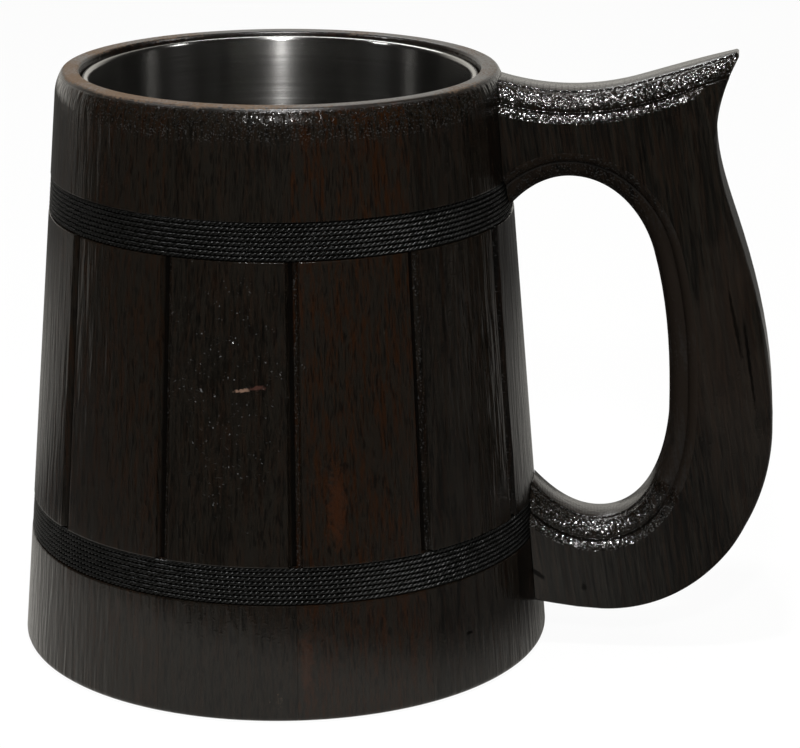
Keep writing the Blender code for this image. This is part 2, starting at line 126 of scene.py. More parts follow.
class Graph:
    """The node tree of a material or of the world."""

    def __init__(self, tree: bpy.types.NodeTree) -> None:
        """Start from an empty tree."""
        self.tree = tree
        tree.nodes.clear()

    def add(self, kind: str, settings: Settings = None, inputs: Inputs = None) -> bpy.types.Node:
        """Add a node.

        Args:
            kind: The node's type.
            settings: Its own properties.
            inputs: Values or links of its sockets, by name or by number.

        Returns:
            The node.
        """
        node = self.tree.nodes.new(kind)
        for name, setting in (settings or {}).items():
            setattr(node, name, setting)
        for name, value in (inputs or {}).items():
            source = value.socket if isinstance(value, Value) else value
            if isinstance(source, Socket):
                self.tree.links.new(source, node.inputs[name])
            else:
                node.inputs[name].default_value = source
        return node

    def number(self, kind: str, settings: Settings = None, inputs: Inputs = None, output: int = 0) -> Value:
        """Number that a new node gives out."""
        return Value(self, self.add(kind, settings, inputs).outputs[output])

    def math(self, operation: str, first: Term, second: Term) -> Value:
        """Number from two numbers, by an operation of the Math node."""
        return self.number("ShaderNodeMath", {"operation": operation}, {0: first, 1: second})

    def place(self) -> Socket:
        """Point of the surface, in the mug's frame."""
        return self.add("ShaderNodeTexCoord").outputs["Object"]

    def painted(self, name: str) -> Socket:
        """Vector that is painted on the mesh."""
        return self.add("ShaderNodeAttribute", {"attribute_name": name}).outputs["Vector"]

    def split(self, vector: Socket) -> list[Value]:
        """The three numbers of a vector."""
        node = self.add("ShaderNodeSeparateXYZ", inputs={0: vector})
        return [Value(self, output) for output in node.outputs]

    def length(self, vector: Socket) -> Value:
        """Length of a vector."""
        return self.number("ShaderNodeVectorMath", {"operation": "LENGTH"}, {0: vector}, 1)

    def shifted(self, point: Socket, vector: Socket, reach: Colour) -> Socket:
        """Point moved by a vector, as far along each axis as reach says for one unit."""
        inputs = {0: vector, 1: reach, 2: point}
        return self.add("ShaderNodeVectorMath", {"operation": "MULTIPLY_ADD"}, inputs).outputs[0]

    def mapped(
        self,
        point: Socket,
        scale: Colour = (1.0, 1.0, 1.0),
        turn: float = 0.0,
        origin: Colour = (0.0, 0.0, 0.0),
        centred: bool = False,
    ) -> Socket:
        """Turn and stretch a point.

        Args:
            point: The point.
            scale: Stretch along each axis, or the size of a centred patch.
            turn: Rotation about Y, in radians.
            origin: Shift, or the middle of a centred patch.
            centred: Whether the point is measured from a patch's middle, in units of its size.

        Returns:
            The new point.
        """
        settings = {"vector_type": "TEXTURE" if centred else "POINT"}
        inputs = {"Vector": point, "Location": origin, "Rotation": (0.0, turn, 0.0), "Scale": scale}
        return self.add("ShaderNodeMapping", settings, inputs).outputs[0]

    def noise(self, point: Socket, waves: float, detail: float, warp: float = 0.0) -> Value:
        """Smooth noise from 0 to 1, by its waves to the metre, its octaves and its distortion."""
        inputs = {"Vector": point, "Scale": waves, "Detail": detail, "Distortion": warp}
        return self.number("ShaderNodeTexNoise", inputs=inputs)

    def step(self, value: Term, low: float, high: float) -> Value:
        """Soft step from 0 at low to 1 at high."""
        inputs = {"Value": value, "From Min": low, "From Max": high}
        return self.number("ShaderNodeMapRange", {"interpolation_type": "SMOOTHSTEP"}, inputs)

    def layered(self, factor: Term, under: Union[Colour, Socket], over: Union[Colour, Socket]) -> Socket:
        """Lay one colour over another.

        Args:
            factor: How much of the upper colour shows.
            under: Lower colour.
            over: Upper colour.

        Returns:
            The colour.
        """
        colours = [(*c, 1.0) if isinstance(c, tuple) else c for c in (under, over)]
        inputs = {0: factor, 6: colours[0], 7: colours[1]}
        return self.add("ShaderNodeMix", {"data_type": "RGBA"}, inputs).outputs[2]

    def relief(self, height: Value) -> Socket:
        """Normal of a surface with relief, from its height in millimetres."""
        inputs = {"Strength": 1.0, "Distance": MILLIMETRE, "Height": height}
        return self.add("ShaderNodeBump", inputs=inputs).outputs[0]

    def rays(self, *kinds: Ray) -> Value:
        """1 on a ray of one of these kinds, and 0 on any other."""
        path = self.add("ShaderNodeLightPath").outputs
        return reduce(Value.most, [Value(self, path[kind.value]) for kind in kinds])


# Finishes


@dataclass(frozen=True)
class Grain:
    """A noise drawn out along the grain of the wood.

    Attributes:
        waves: Waves to the metre, across the grain.
        drawn: Share of them along it.
        detail: Octaves.
        warp: Distortion.
    """

    waves: float
    drawn: float
    detail: float
    warp: float = 0.0

    def read(self, graph: Graph, grown: Socket) -> Value:
        """The noise at a point whose Z runs along the grain."""
        return graph.noise(graph.mapped(grown, (1.0, 1.0, self.drawn)), self.waves, self.detail, self.warp)


@dataclass(frozen=True)
class Specks:
    """Specks or clouds: the crests of a noise.

    Attributes:
        waves: Waves to the metre.
        detail: Octaves.
        low: Height at which a crest starts.
        high: Height from which it is full.
    """

    waves: float
    detail: float
    low: float
    high: float

    def read(self, graph: Graph, point: Socket) -> Value:
        """1 in a speck and 0 beside it."""
        return graph.step(graph.noise(point, self.waves, self.detail), self.low, self.high)


@dataclass(frozen=True)
class Mark:
    """A small flaw in the wood.

    Attributes:
        middle: Its middle.
        size: Half of its length along each axis.
        turn: Rotation about Y, in radians.
        tint: Its colour.
        share: How much of the wood it covers.
        crack: Whether it is an open crack, with no varnish in it.
        rag: Raggedness, in waves to the metre.
        ragged: How far its edge wanders, in halves of its length.
    """

    middle: Colour
    size: Colour
    turn: float = 0.0
    tint: Colour = PITCH
    share: float = 0.9
    crack: bool = False
    rag: float = 900.0
    ragged: float = 1.6

    def mask(self, graph: Graph, point: Socket) -> Value:
        """How much of it shows at a point.

        Args:
            graph: The material's tree.
            point: Point of the surface.

        Returns:
            Its share in the middle, and 0 outside a ragged edge.
        """
        local = graph.mapped(point, self.size, self.turn, self.middle, centred=True)
        wander = (graph.noise(point, self.rag, 3.0) - 0.5) * self.ragged
        return graph.step(graph.length(local) + wander, 1.0, 0.35) * self.share


@dataclass(frozen=True)
class Finish:
    """What a surface is finished with.

    Attributes:
        name: The material's name.
    """

    name: str

    def shade(self, graph: Graph) -> bpy.types.Node:
        """Shader of the surface, in the material's tree."""
        raise NotImplementedError

    def make(self) -> bpy.types.Material:
        """Build the material.

        Returns:
            The material.
        """
        material = bpy.data.materials.new(self.name)
        material.use_nodes = True
        graph = Graph(material.node_tree)
        graph.add("ShaderNodeOutputMaterial", inputs={"Surface": self.shade(graph).outputs[0]})
        return material


class Surface:
    """What a stained board is like at a point: its grain, its wear, its cut, its dust with painted glints,
    and the painted shade in its grooves.
    """

    RINGS = Grain(380.0, 0.05, 3.0, 0.4)
    FIBRE = Grain(1500.0, 0.030, 3.0)
    THREAD = Grain(3600.0, 0.060, 2.0)
    STREAK = Grain(900.0, 0.045, 3.0, 0.3)
    PORE = Grain(2500.0, 0.070, 1.0)
    RIDGE = Grain(650.0, 0.060, 1.5, 0.2)
    NIBS = (Specks(1000.0, 0.0, 0.60, 0.80), Specks(420.0, 1.0, 0.44, 0.56))
    # Pale specks, partly dust and partly painted glints.
    LINT_AND_PAINTED_GLINT = (Specks(1900.0, 0.0, 0.73, 0.82), Specks(330.0, 1.0, 0.50, 0.60))
    GLINTS = Specks(2400.0, 0.0, 0.63, 0.72)
    CLOUD = 55.0
    BOARD_SHIFT = (0.37, 0.61, 0.83)

    def __init__(self, graph: Graph, wood: "StainedWood") -> None:
        """Read what grew in the wood and what is painted on the mesh.

        Args:
            graph: The material's tree.
            wood: The finish.
        """
        self.point = point = graph.place()
        board = graph.painted("board")
        _, self.redness, self.tone = graph.split(board)
        # The third value is painted shade in the grooves and along the handle's step.
        self.wear, self.rough_cut, self.groove = graph.split(graph.painted("touch"))
        grown = graph.mapped(graph.shifted(point, board, self.BOARD_SHIFT), turn=wood.lean)

        self.rings = self.RINGS.read(graph, grown)
        self.fibre = self.FIBRE.read(graph, grown)
        self.thread = self.THREAD.read(graph, grown)
        self.ridge = self.RIDGE.read(graph, grown)
        self.streak = graph.step(self.STREAK.read(graph, grown) * 0.55 + self.thread * 0.45, 0.45, 0.62)
        self.pore = graph.step(self.PORE.read(graph, grown), 0.54, 0.66)
        self.grit = graph.noise(point, wood.torn, 0.6)
        self.cloud = graph.noise(point, self.CLOUD, 3.0)

        self.cut = graph.step(self.rough_cut, 0.05, 0.20)
        self.ragged = graph.step(self.rough_cut, 0.3, 0.6)
        self.glint = self.GLINTS.read(graph, point) * self.cut
        self.dusty = graph.step(self.rough_cut, 0.5, 0.6) * 0.5
        for spot in wood.dust_and_glint_spots:
            self.dusty = self.dusty.most(spot.mask(graph, point))
        nibs, nib_clouds = (specks.read(graph, point) for specks in self.NIBS)
        # Pale specks painted in the colour: partly dust in the varnish, partly painted glints.
        lint_and_painted_glint, lint_and_glint_clouds = (specks.read(graph, point) for specks in self.LINT_AND_PAINTED_GLINT)
        self.nib = nibs * nib_clouds
        self.lint_and_painted_glint = lint_and_painted_glint * lint_and_glint_clouds * self.dusty * wood.dust
        uneven = (self.fibre - 0.5) * 1.1 + (self.cloud - 0.5) * 1.4 + (self.grit - 0.5) * 0.5
        self.worn = graph.step(self.wear + uneven, 0.45, 1.05)
        self.bared = self.worn * 0.85


@dataclass(frozen=True)
class StainedWood(Finish):
    """Open-grained wood under a dark stain and a satin varnish.

    Attributes:
        lean: Turn of the grain away from Z, in radians.
        dark: Stain in the late wood.
        brown: Stain in the early wood.
        red: Streaks where the stain is thin.
        bare: Wood that shows through worn edges.
        lint_and_painted_glint: Pale specks: dust in the varnish, and painted glints.
        glare: Bright facets of a torn cut.
        painted_shade_and_crack: Near-black painted shade in the grooves and along the handle's step, and the
            dark of open cracks.
        gloss: Roughness of the varnish.
        bend: Refractive index of the varnish.
        pool_gloss: Roughness where the varnish pooled on a torn cut.
        pool_bend: Refractive index there.
        raised: Height of the raised grain, in millimetres.
        torn: Torn fibres on a rough cut, to the metre.
        tear: How deep they are torn, in millimetres, times their number to the metre.
        dust: Share of the pale specks, dust and painted glints, where there are any.
        marks: Small flaws.
        dust_and_glint_spots: Places where dust stuck in the varnish, and where pale specks are painted as
            glints.
    """

    lean: float = 0.0
    dark: Colour = (0.0013, 0.0012, 0.0009)
    brown: Colour = (0.0070, 0.0060, 0.0046)
    red: Colour = (0.0130, 0.0044, 0.0012)
    bare: Colour = (0.105, 0.072, 0.048)
    lint_and_painted_glint: Colour = (0.10, 0.103, 0.105)
    glare: Colour = (0.25, 0.25, 0.25)
    painted_shade_and_crack: Colour = (0.0014, 0.0012, 0.0010)
    gloss: float = 0.17
    bend: float = 1.46
    pool_gloss: float = 0.13
    pool_bend: float = 1.52
    raised: float = 0.30
    torn: float = 2200.0
    tear: float = 500.0
    dust: float = 1.0
    marks: tuple[Mark, ...] = ()
    dust_and_glint_spots: tuple[Mark, ...] = ()

    def colour(self, graph: Graph, wood: Surface, masks: Sequence[Value]) -> Socket:
        """Colour of the surface, from the stain up to the flaws.

        Args:
            graph: The material's tree.
            wood: What the board is like.
            masks: How much of each flaw shows.

        Returns:
            The colour.
        """
        early = wood.rings * 0.35 + wood.fibre * 0.40 + wood.thread * 0.25 + (wood.tone - 0.5) * 0.30
        colour = graph.layered(graph.step(early, 0.38, 0.62), self.dark, self.brown)
        layers = [
            (wood.redness * (0.08 + 0.85 * wood.streak), self.red),
            (wood.bared, self.bare),
            # Pale specks: dust, and painted glints.
            (wood.lint_and_painted_glint, self.lint_and_painted_glint),
            (wood.pore * 0.65, PITCH),
            (wood.glint * (0.24 + 0.76 * wood.ragged), self.glare),
        ]
        for share, over in layers + [(mask, mark.tint) for mask, mark in zip(masks, self.marks)]:
            colour = graph.layered(share, colour, over)
        return colour

    def height(self, graph: Graph, wood: Surface) -> Value:
        """Relief of the surface.

        Args:
            graph: The material's tree.
            wood: What the board is like.

        Returns:
            Height in millimetres.
        """
        grain = (wood.ridge * self.raised + wood.fibre * 0.040) * (1 - graph.step(wood.wear, 0.0, 0.40))
        fine = wood.thread * 0.006 - wood.pore * 0.006
        nibs = wood.nib * (0.010 + wood.dusty * 0.07)
        tears = wood.grit * (0.006 + wood.rough_cut * (self.tear / self.torn))
        return grain + fine + nibs + tears

    def roughness(self, wood: Surface) -> Value:
        """Roughness of the varnish."""
        handled = self.gloss + (wood.cloud - 0.5) * 0.10 + wood.worn * 0.30 + wood.wear * 0.25
        return handled - wood.dusty * 0.05 + wood.rough_cut * (0.40 - wood.glint * 0.20)

    def shade(self, graph: Graph) -> bpy.types.Node:
        """Varnish on the wood, pooled or dry where the cut is rough, gone from worn edges and cracks, and
        covered by painted shade in the grooves and along the handle's step.

        Args:
            graph: The material's tree.

        Returns:
            The shader.
        """
        wood = Surface(graph, self)
        masks = [mark.mask(graph, wood.point) for mark in self.marks]
        colour = self.colour(graph, wood, masks)
        # Painted shade: a near-black dull colour in the grooves and along the handle's step; open cracks take
        # the same dark.
        deep = graph.step(wood.groove, 0.20, 0.65) * 0.88
        for mask in (mask for mask, mark in zip(masks, self.marks) if mark.crack):
            deep = deep.most(mask)
        varnish = {
            "Base Color": colour,
            "Metallic": wood.glint,
            "Roughness": self.roughness(wood),
            "Normal": graph.relief(self.height(graph, wood)),
            "IOR": self.bend,
        }
        surface = graph.add("ShaderNodeBsdfPrincipled", inputs=varnish)
        pool = varnish | {"Roughness": self.pool_gloss, "IOR": self.pool_bend}
        pooled = graph.add("ShaderNodeBsdfPrincipled", inputs=pool)
        tints = (colour, (*self.bare, 1.0), (*self.painted_shade_and_crack, 1.0))
        matt, bare, painted_shade_and_crack = (graph.add("ShaderNodeBsdfDiffuse", inputs={"Color": tint}) for tint in tints)
        dry = wood.cut * (1 - wood.ragged) * (1 - wood.glint) * 0.9
        wet = graph.step(wood.rough_cut, 0.2, 1.0)
        for share, over in ((dry, matt), (wet, pooled), (wood.bared, bare), (deep, painted_shade_and_crack)):
            mixed = {0: share, 1: surface.outputs[0], 2: over.outputs[0]}
            surface = graph.add("ShaderNodeMixShader", inputs=mixed)
        return surface


SPLINTER = (0.20, 0.125, 0.09)
BRUISE = (0.06, 0.026, 0.020)
ORANGE = (0.0260, 0.0080, 0.0025)
# Tint of a broad paler patch over the handle's limb.
PALE_PATCH = (0.0300, 0.0215, 0.0165)

STAVE_WOOD = StainedWood(
    "stained_stave_wood",
    marks=(
        Mark((-0.0008, -0.0579, 0.0779), (0.0023, 0.0020, 0.0005), -0.13, SPLINTER, 0.7, rag=1700.0),
        Mark((0.0026, -0.0579, 0.0785), (0.0022, 0.0020, 0.0007), -0.13, BRUISE, 0.6, rag=1300.0),
        Mark((0.0492, -0.0398, 0.0145), (0.0014, 0.0014, 0.0006), crack=True),
        Mark((0.0202, -0.0568, 0.0506), (0.0026, 0.0030, 0.0130), tint=ORANGE, share=0.6),
        Mark((0.0137, -0.0618, 0.0138), (0.0020, 0.0030, 0.0100), tint=ORANGE, share=0.5),
    ),
    # Where dust sticks, and where pale specks are painted as glints.
    dust_and_glint_spots=(Mark((-0.0040, -0.0580, 0.0780), (0.0160, 0.0200, 0.0340), rag=120.0),),
)
HANDLE_WOOD = StainedWood(
    "stained_handle_wood",
    lean=math.radians(9),
    dark=(0.0024, 0.0023, 0.0019),
    brown=(0.0087, 0.0077, 0.0060),
    bare=(0.0095, 0.0066, 0.0046),
    raised=0.10,
    torn=1300.0,
    dust=0.0,
    marks=(
        # A broad paler patch over the limb's face.
        Mark((0.1080, -0.0106, 0.0700), (0.0140, 0.0060, 0.0420), -0.1, PALE_PATCH, 0.19, rag=60.0),
        Mark((0.1090, -0.0106, 0.0820), (0.0006, 0.0030, 0.0120), -0.225, share=0.6, crack=True),
        Mark((0.1124, -0.0106, 0.0735), (0.0005, 0.0030, 0.0150), -0.16, share=0.7, crack=True),
        Mark((0.0631, -0.0106, 0.0188), (0.0034, 0.0030, 0.0007), 0.65, share=0.7, crack=True),
        Mark((0.0744, -0.0106, 0.0158), (0.0008, 0.0030, 0.0014), share=0.6, crack=True),
    ),
)
BOTTOM_WOOD = StainedWood("stained_bottom_wood", lean=math.radians(90), gloss=0.5)


@dataclass(frozen=True)
class PlainWood(Finish):
    """Pale unstained wood with its grain along X, as on a dowel.

    Attributes:
        pale: Early wood.
        deep: Late wood.
        fibres: Fibres to the metre.
    """

    name: str = "plain_dowel_wood"
    pale: Colour = (0.50, 0.33, 0.19)
    deep: Colour = (0.33, 0.19, 0.095)
    fibres: float = 1400.0

    def shade(self, graph: Graph) -> bpy.types.Node:
        """Dry wood.

        Args:
            graph: The material's tree.

        Returns:
            The shader.
        """
        fibre = graph.noise(graph.mapped(graph.place(), (0.05, 1.0, 1.0)), self.fibres, 3.0)
        colour = graph.layered(graph.step(fibre, 0.3, 0.7), self.deep, self.pale)
        inputs = {"Base Color": colour, "Roughness": fibre * 0.2 + 0.5, "Normal": graph.relief(fibre * 0.03)}
        return graph.add("ShaderNodeBsdfPrincipled", inputs=inputs)


@dataclass(frozen=True)
class BrushedSteel(Finish):
    """Steel brushed in turns round the cup.

    Attributes:
        bright: Crests of the brushing.
        dull: Its furrows.
        gloss: Roughness.
        brushing: How much the furrows draw a highlight out.
        furrows: Waves to the metre along X, Y and Z.
    """

    name: str = "brushed_steel"
    bright: Colour = (0.42, 0.415, 0.40)
    dull: Colour = (0.32, 0.315, 0.305)
    gloss: float = 0.21
    brushing: float = 0.95
    furrows: Colour = (14.0, 14.0, 4200.0)

    def shade(self, graph: Graph) -> bpy.types.Node:
        """Brushed metal.

        Args:
            graph: The material's tree.

        Returns:
            The shader.
        """
        point = graph.place()
        lines = graph.noise(graph.mapped(point, self.furrows), 1.0, 3.0)
        cloud = graph.noise(point, 60.0, 2.0)
        inputs = {
            "Base Color": graph.layered(graph.step(lines, 0.25, 0.75), self.dull, self.bright),
            "Metallic": 1.0,
            "Roughness": self.gloss + (lines - 0.5) * 0.08 + (cloud - 0.5) * 0.06,
            "Anisotropic": self.brushing,
            "Anisotropic Rotation": 0.25,
            "Normal": graph.relief(lines * 0.004),
        }
        return graph.add("ShaderNodeBsdfPrincipled", inputs=inputs)


@dataclass(frozen=True)
class Sealant(Finish):
    """Black sealant with dust on it.

    Attributes:
        black: The sealant.
        dusty: Where dust lies.
    """

    name: str = "black_sealant"
    black: Colour = (0.006, 0.006, 0.006)
    dusty: Colour = (0.035, 0.032, 0.029)

    def shade(self, graph: Graph) -> bpy.types.Node:
        """Dusty sealant.

        Args:
            graph: The material's tree.

        Returns:
            The shader.
        """
        dust = graph.noise(graph.place(), 1500.0, 3.0)
        colour = graph.layered(graph.step(dust, 0.45, 0.8), self.black, self.dusty)
        inputs = {"Base Color": colour, "Roughness": dust * 0.3 + 0.4, "Normal": graph.relief(dust * 0.05)}
        return graph.add("ShaderNodeBsdfPrincipled", inputs=inputs)


@dataclass(frozen=True)
class WaxedCord(Finish):
    """Black waxed thread.

    Attributes:
        black: The thread.
        grey: Its fuzz.
        bend: Refractive index of the wax.
    """

    name: str = "black_waxed_cord"
    black: Colour = (0.0014, 0.0015, 0.0013)
    grey: Colour = (0.0052, 0.0052, 0.0046)
    bend: float = 1.38

    def shade(self, graph: Graph) -> bpy.types.Node:
        """Fuzzy thread under wax.

        Args:
            graph: The material's tree.

        Returns:
            The shader.
        """
        point = graph.place()
        fuzz, cloud = graph.noise(point, 5200.0, 2.0), graph.noise(point, 120.0, 3.0)
        worn = graph.step(fuzz * 0.6 + cloud * 0.4, 0.4, 0.7)
        inputs = {
            "Base Color": graph.layered(worn, self.black, self.grey),
            "Roughness": 0.35 + (cloud - 0.5) * 0.2 + (fuzz - 0.5) * 0.2,
            "Normal": graph.relief(fuzz * 0.02),
            "IOR": self.bend,
        }
        return graph.add("ShaderNodeBsdfPrincipled", inputs=inputs)


@dataclass(frozen=True)
class Paper(Finish):
    """Pale paper that glows white to the camera, and that the mug mirrors as a glow of painted light and
    painted shadow.

    Attributes:
        pale: Its colour.
        tint: Its colour where the mug mirrors it.
        shift: Brings the middle of the painted bright spot, which is mirrored most, to the mug's axis.
        glow: How brightly the painted glow is mirrored close to the mug, and behind it; elsewhere it stays
            dim as painted shadow.
    """

    name: str = "pale_paper"
    pale: Colour = (0.86, 0.86, 0.86)
    tint: Colour = WHITE
    shift: Colour = (0.05, 0.04, 0.0)
    glow: Point = (0.45, 0.28)

    def shade(self, graph: Graph) -> bpy.types.Node:
        """Paper with a soft shadow on it, that glows white to the camera and glows in mirrors with painted
        light, bright near the mug and behind it and dim elsewhere as painted shadow.

        Args:
            graph: The material's tree.

        Returns:
            The shader.
        """
        point = graph.place()
        # Painted reflection: a bright spot near the mug and a band behind it; the rest, under the handle too,
        # stays dim as painted shadow.
        near = 1.0 - graph.step(graph.length(graph.mapped(point, origin=self.shift)), 0.09, 0.16)
        depth = graph.split(point)[1]
        rear = graph.step(depth, 0.03, 0.16) * (1.0 - graph.step(depth, 0.20, 0.40) * 0.85)
        mirrored = 0.02 + (near * self.glow[0]).most(rear * self.glow[1])
        camera = graph.rays(Ray.CAMERA)
        colour = graph.layered(camera, self.tint, WHITE)
        level = camera + (1.0 - camera) * mirrored
        white = graph.add("ShaderNodeEmission", inputs={"Color": colour, "Strength": level})
        paper = graph.add("ShaderNodeBsdfDiffuse", inputs={"Color": (*self.pale, 1.0)})
        seen = graph.rays(Ray.CAMERA, Ray.GLOSSY, Ray.THROUGH) * 0.95
        mixed = {0: seen, 1: paper.outputs[0], 2: white.outputs[0]}
        return graph.add("ShaderNodeMixShader", inputs=mixed)


# Mesh helpers


def clamped(number: float) -> float:
    """Number kept between 0 and 1."""
    return max(0.0, min(1.0, number))


def arc(middle: Point, radius: float, start: float, end: float, steps: int) -> list[Point]:
    """Points of an arc in a plane, both ends included, with its angles in radians."""
    angles = [start + (end - start) * i / steps for i in range(steps + 1)]
    return [(middle[0] + radius * math.cos(a), middle[1] + radius * math.sin(a)) for a in angles]


def placed(name: str, bm: bmesh.types.BMesh, sharp: float = 35.0) -> Piece:
    """Object of a bmesh, which is freed.

    Args:
        name: The object's name.
        bm: The shape, in the mug's frame.
        sharp: Degrees from which an edge stays sharp.

    Returns:
        The object.
    """
    bmesh.ops.remove_doubles(bm, verts=bm.verts, dist=1e-7)
    bmesh.ops.recalc_face_normals(bm, faces=bm.faces)
    mesh = bpy.data.meshes.new(name)
    bm.to_mesh(mesh)
    bm.free()
    mesh.shade_smooth()
    mesh.set_sharp_from_angle(angle=math.radians(sharp))
    item = bpy.data.objects.new(name, mesh)
    bpy.context.scene.collection.objects.link(item)
    return item


def turned(name: str, profile: Sequence[Point], closed: bool, steps: int) -> Piece:
    """Solid of revolution.

    Args:
        name: The object's name.
        profile: Radius and height of each point.
        closed: Whether the profile is a closed line, and not one that ends on the axis.
        steps: Facets round.

    Returns:
        The object.
    """
    bm = bmesh.new()
    verts = [bm.verts.new((r, 0.0, z)) for r, z in profile]
    edges = [bm.edges.new(pair) for pair in zip(verts, verts[1:])]
    if closed:
        edges.append(bm.edges.new((verts[-1], verts[0])))
    geom, whole = verts + edges, 2 * math.pi
    bmesh.ops.spin(bm, geom=geom, axis=(0, 0, 1), cent=(0, 0, 0), angle=whole, steps=steps, use_merge=True)
    return placed(name, bm)


def carved(item: Piece, cutters: Sequence[Piece]) -> None:
    """Take the shapes of cutters, which are removed, out of an object.

    Args:
        item: The object to cut.
        cutters: Closed shapes.
    """
    for cutter in cutters:
        boolean = item.modifiers.new(cutter.name, "BOOLEAN")
        boolean.operation = "DIFFERENCE"
        boolean.solver = "MANIFOLD"
        boolean.object = cutter
    bpy.context.view_layer.update()
    whole = item.evaluated_get(bpy.context.evaluated_depsgraph_get())
    item.data = bpy.data.meshes.new_from_object(whole)
    item.modifiers.clear()
    for cutter in cutters:
        bpy.data.objects.remove(cutter)


def paint(mesh: bpy.types.Mesh, name: str, values: Sequence[Colour], domain: Domain = Domain.POINT) -> None:
    """Paint a vector on each point or face of a mesh."""
    layer = mesh.attributes.new(name, "FLOAT_VECTOR", domain.value)
    layer.data.foreach_set("vector", [number for value in values for number in value])


def dressed(item: Piece, material: bpy.types.Material, node: str) -> Piece:
    """Give a piece its finish and its place on the frame.

    Args:
        item: The piece.
        material: Its finish.
        node: The CAD node that it stands for.

    Returns:
        The piece.
    """
    item.data.materials.clear()
    item.data.materials.append(material)
    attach(item, "root")
    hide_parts(node)
    return item


# The mug's pieces


@dataclass
class Cone:
    """The tapered outside of the body.

    Attributes:
        height: Height of the body.
        base: Radius at the base.
        rim: Radius at the rim.
    """

    height: float = 0.140
    base: float = 0.0645
    rim: float = 0.0528

    @property
    def taper(self) -> float:
        """Lean of the wall, in radians."""
        return math.atan((self.base - self.rim) / self.height)

    def radius(self, height: float) -> float:
        """Radius at a height."""
        return self.base + (self.rim - self.base) * height / self.height


@dataclass
class Band:
    """A band of twisted cord in its groove.

    Attributes:
        name: Its CAD node.
        low: Lower edge of the groove.
        width: Height of the groove.
        depth: Depth of the groove.
        lip: How far the groove's lips are rounded.
        margin: How far its section reaches beyond it.
        turns: Turns of cord.
        pitch: From turn to turn.
        climb: Share of a turn, behind the handle, in which the cord climbs to the next.
        cord: Diameter of the cord.
        sink: How far the cord lies below the body's surface.
        lay: Length of one twist.
        strands: Strands in the cord.
        points: Points to a twist.
    """

    name: str
    low: float
    width: float = 0.00896
    depth: float = 0.00120
    lip: float = 0.00012
    margin: float = 0.0003
    turns: int = 8
    pitch: float = 0.0011
    climb: float = 1.0 / 24
    cord: float = 0.00108
    sink: float = 0.00004
    lay: float = 0.00255
    strands: int = 2
    points: int = 6

    @property
    def high(self) -> float:
        """Upper edge of the groove."""
        return self.low + self.width

    def notch(self, cone: Cone) -> list[Point]:
        """Section of the groove, from its upper edge down.

        Args:
            cone: The body's outside.

        Returns:
            Radius and height of each point, the lips a little rounded.
        """
        lip, margin = self.lip, self.margin
        upper, lower = cone.radius(self.high), cone.radius(self.low)
        return [
            (cone.radius(self.high + margin), self.high + margin),
            (upper, self.high + lip),
            (upper - 0.3 * lip, self.high + 0.3 * lip),
            (upper - lip, self.high),
            (upper - self.depth, self.high),
            (lower - self.depth, self.low),
            (lower - lip, self.low),
            (lower - 0.3 * lip, self.low - 0.3 * lip),
            (lower, self.low - lip),
            (cone.radius(self.low - margin), self.low - margin),
        ]

    def middle(self, way: float, cone: Cone) -> tuple[Vector, Vector]:
        """Middle of the cord.

        Args:
            way: Turns from the start, behind the handle.
            cone: The body's outside.

        Returns:
            The point, and the direction outwards there.
        """
        turn = min(int(way), self.turns - 1)
        share = way - turn
        rise = turn + max(0.0, (share - 1 + self.climb) / self.climb) * (turn < self.turns - 1)
        first = self.low + (self.width - (self.turns - 1) * self.pitch) / 2
        height = first + rise * self.pitch
        angle = 2 * math.pi * (way + self.climb / 2)
        out = Vector((math.cos(angle), math.sin(angle), 0.0))
        return out * (cone.radius(height) - self.cord / 2 - self.sink) + Vector((0, 0, height)), out

    def wind(self, cone: Cone) -> Piece:
        """Wind the cord: strands that twist round each other along level turns.

        Args:
            cone: The body's outside.

        Returns:
            The cord.
        """
        strand = self.cord / 2 / (1 + 1 / math.sin(math.pi / self.strands))
        swing = self.cord / 2 - strand
        length = 2 * math.pi * cone.radius(self.low + self.width / 2) * self.turns
        count = int(length / self.lay * self.points)
        curve = bpy.data.curves.new(self.name, "CURVE")
        curve.dimensions = "3D"
        curve.bevel_depth = strand
        curve.bevel_resolution = 1
        curve.use_fill_caps = True
        last = self.turns - self.climb
        for k in range(self.strands):
            spline = curve.splines.new("POLY")
            spline.points.add(count)
            for i, knot in enumerate(spline.points):
                centre, out = self.middle(last * i / count, cone)
                twist = 2 * math.pi * (i / self.points + k / self.strands)
                side = out * math.cos(twist) + Vector((0, 0, 1)) * math.sin(twist)
                knot.co = (*(centre + side * swing), 1.0)
        wound = bpy.data.objects.new(self.name, curve)
        bpy.context.scene.collection.objects.link(wound)
        bpy.context.view_layer.update()
        mesh = bpy.data.meshes.new_from_object(wound.evaluated_get(bpy.context.evaluated_depsgraph_get()))
        bpy.data.objects.remove(wound)
        bm = bmesh.new()
        bm.from_mesh(mesh)
        return placed(self.name + "_twist", bm, 60.0)

    def build(self, cone: Cone, thread: bpy.types.Material) -> Piece:
        """Wind the cord on the body and dress it."""
        return dressed(self.wind(cone), thread, self.name)


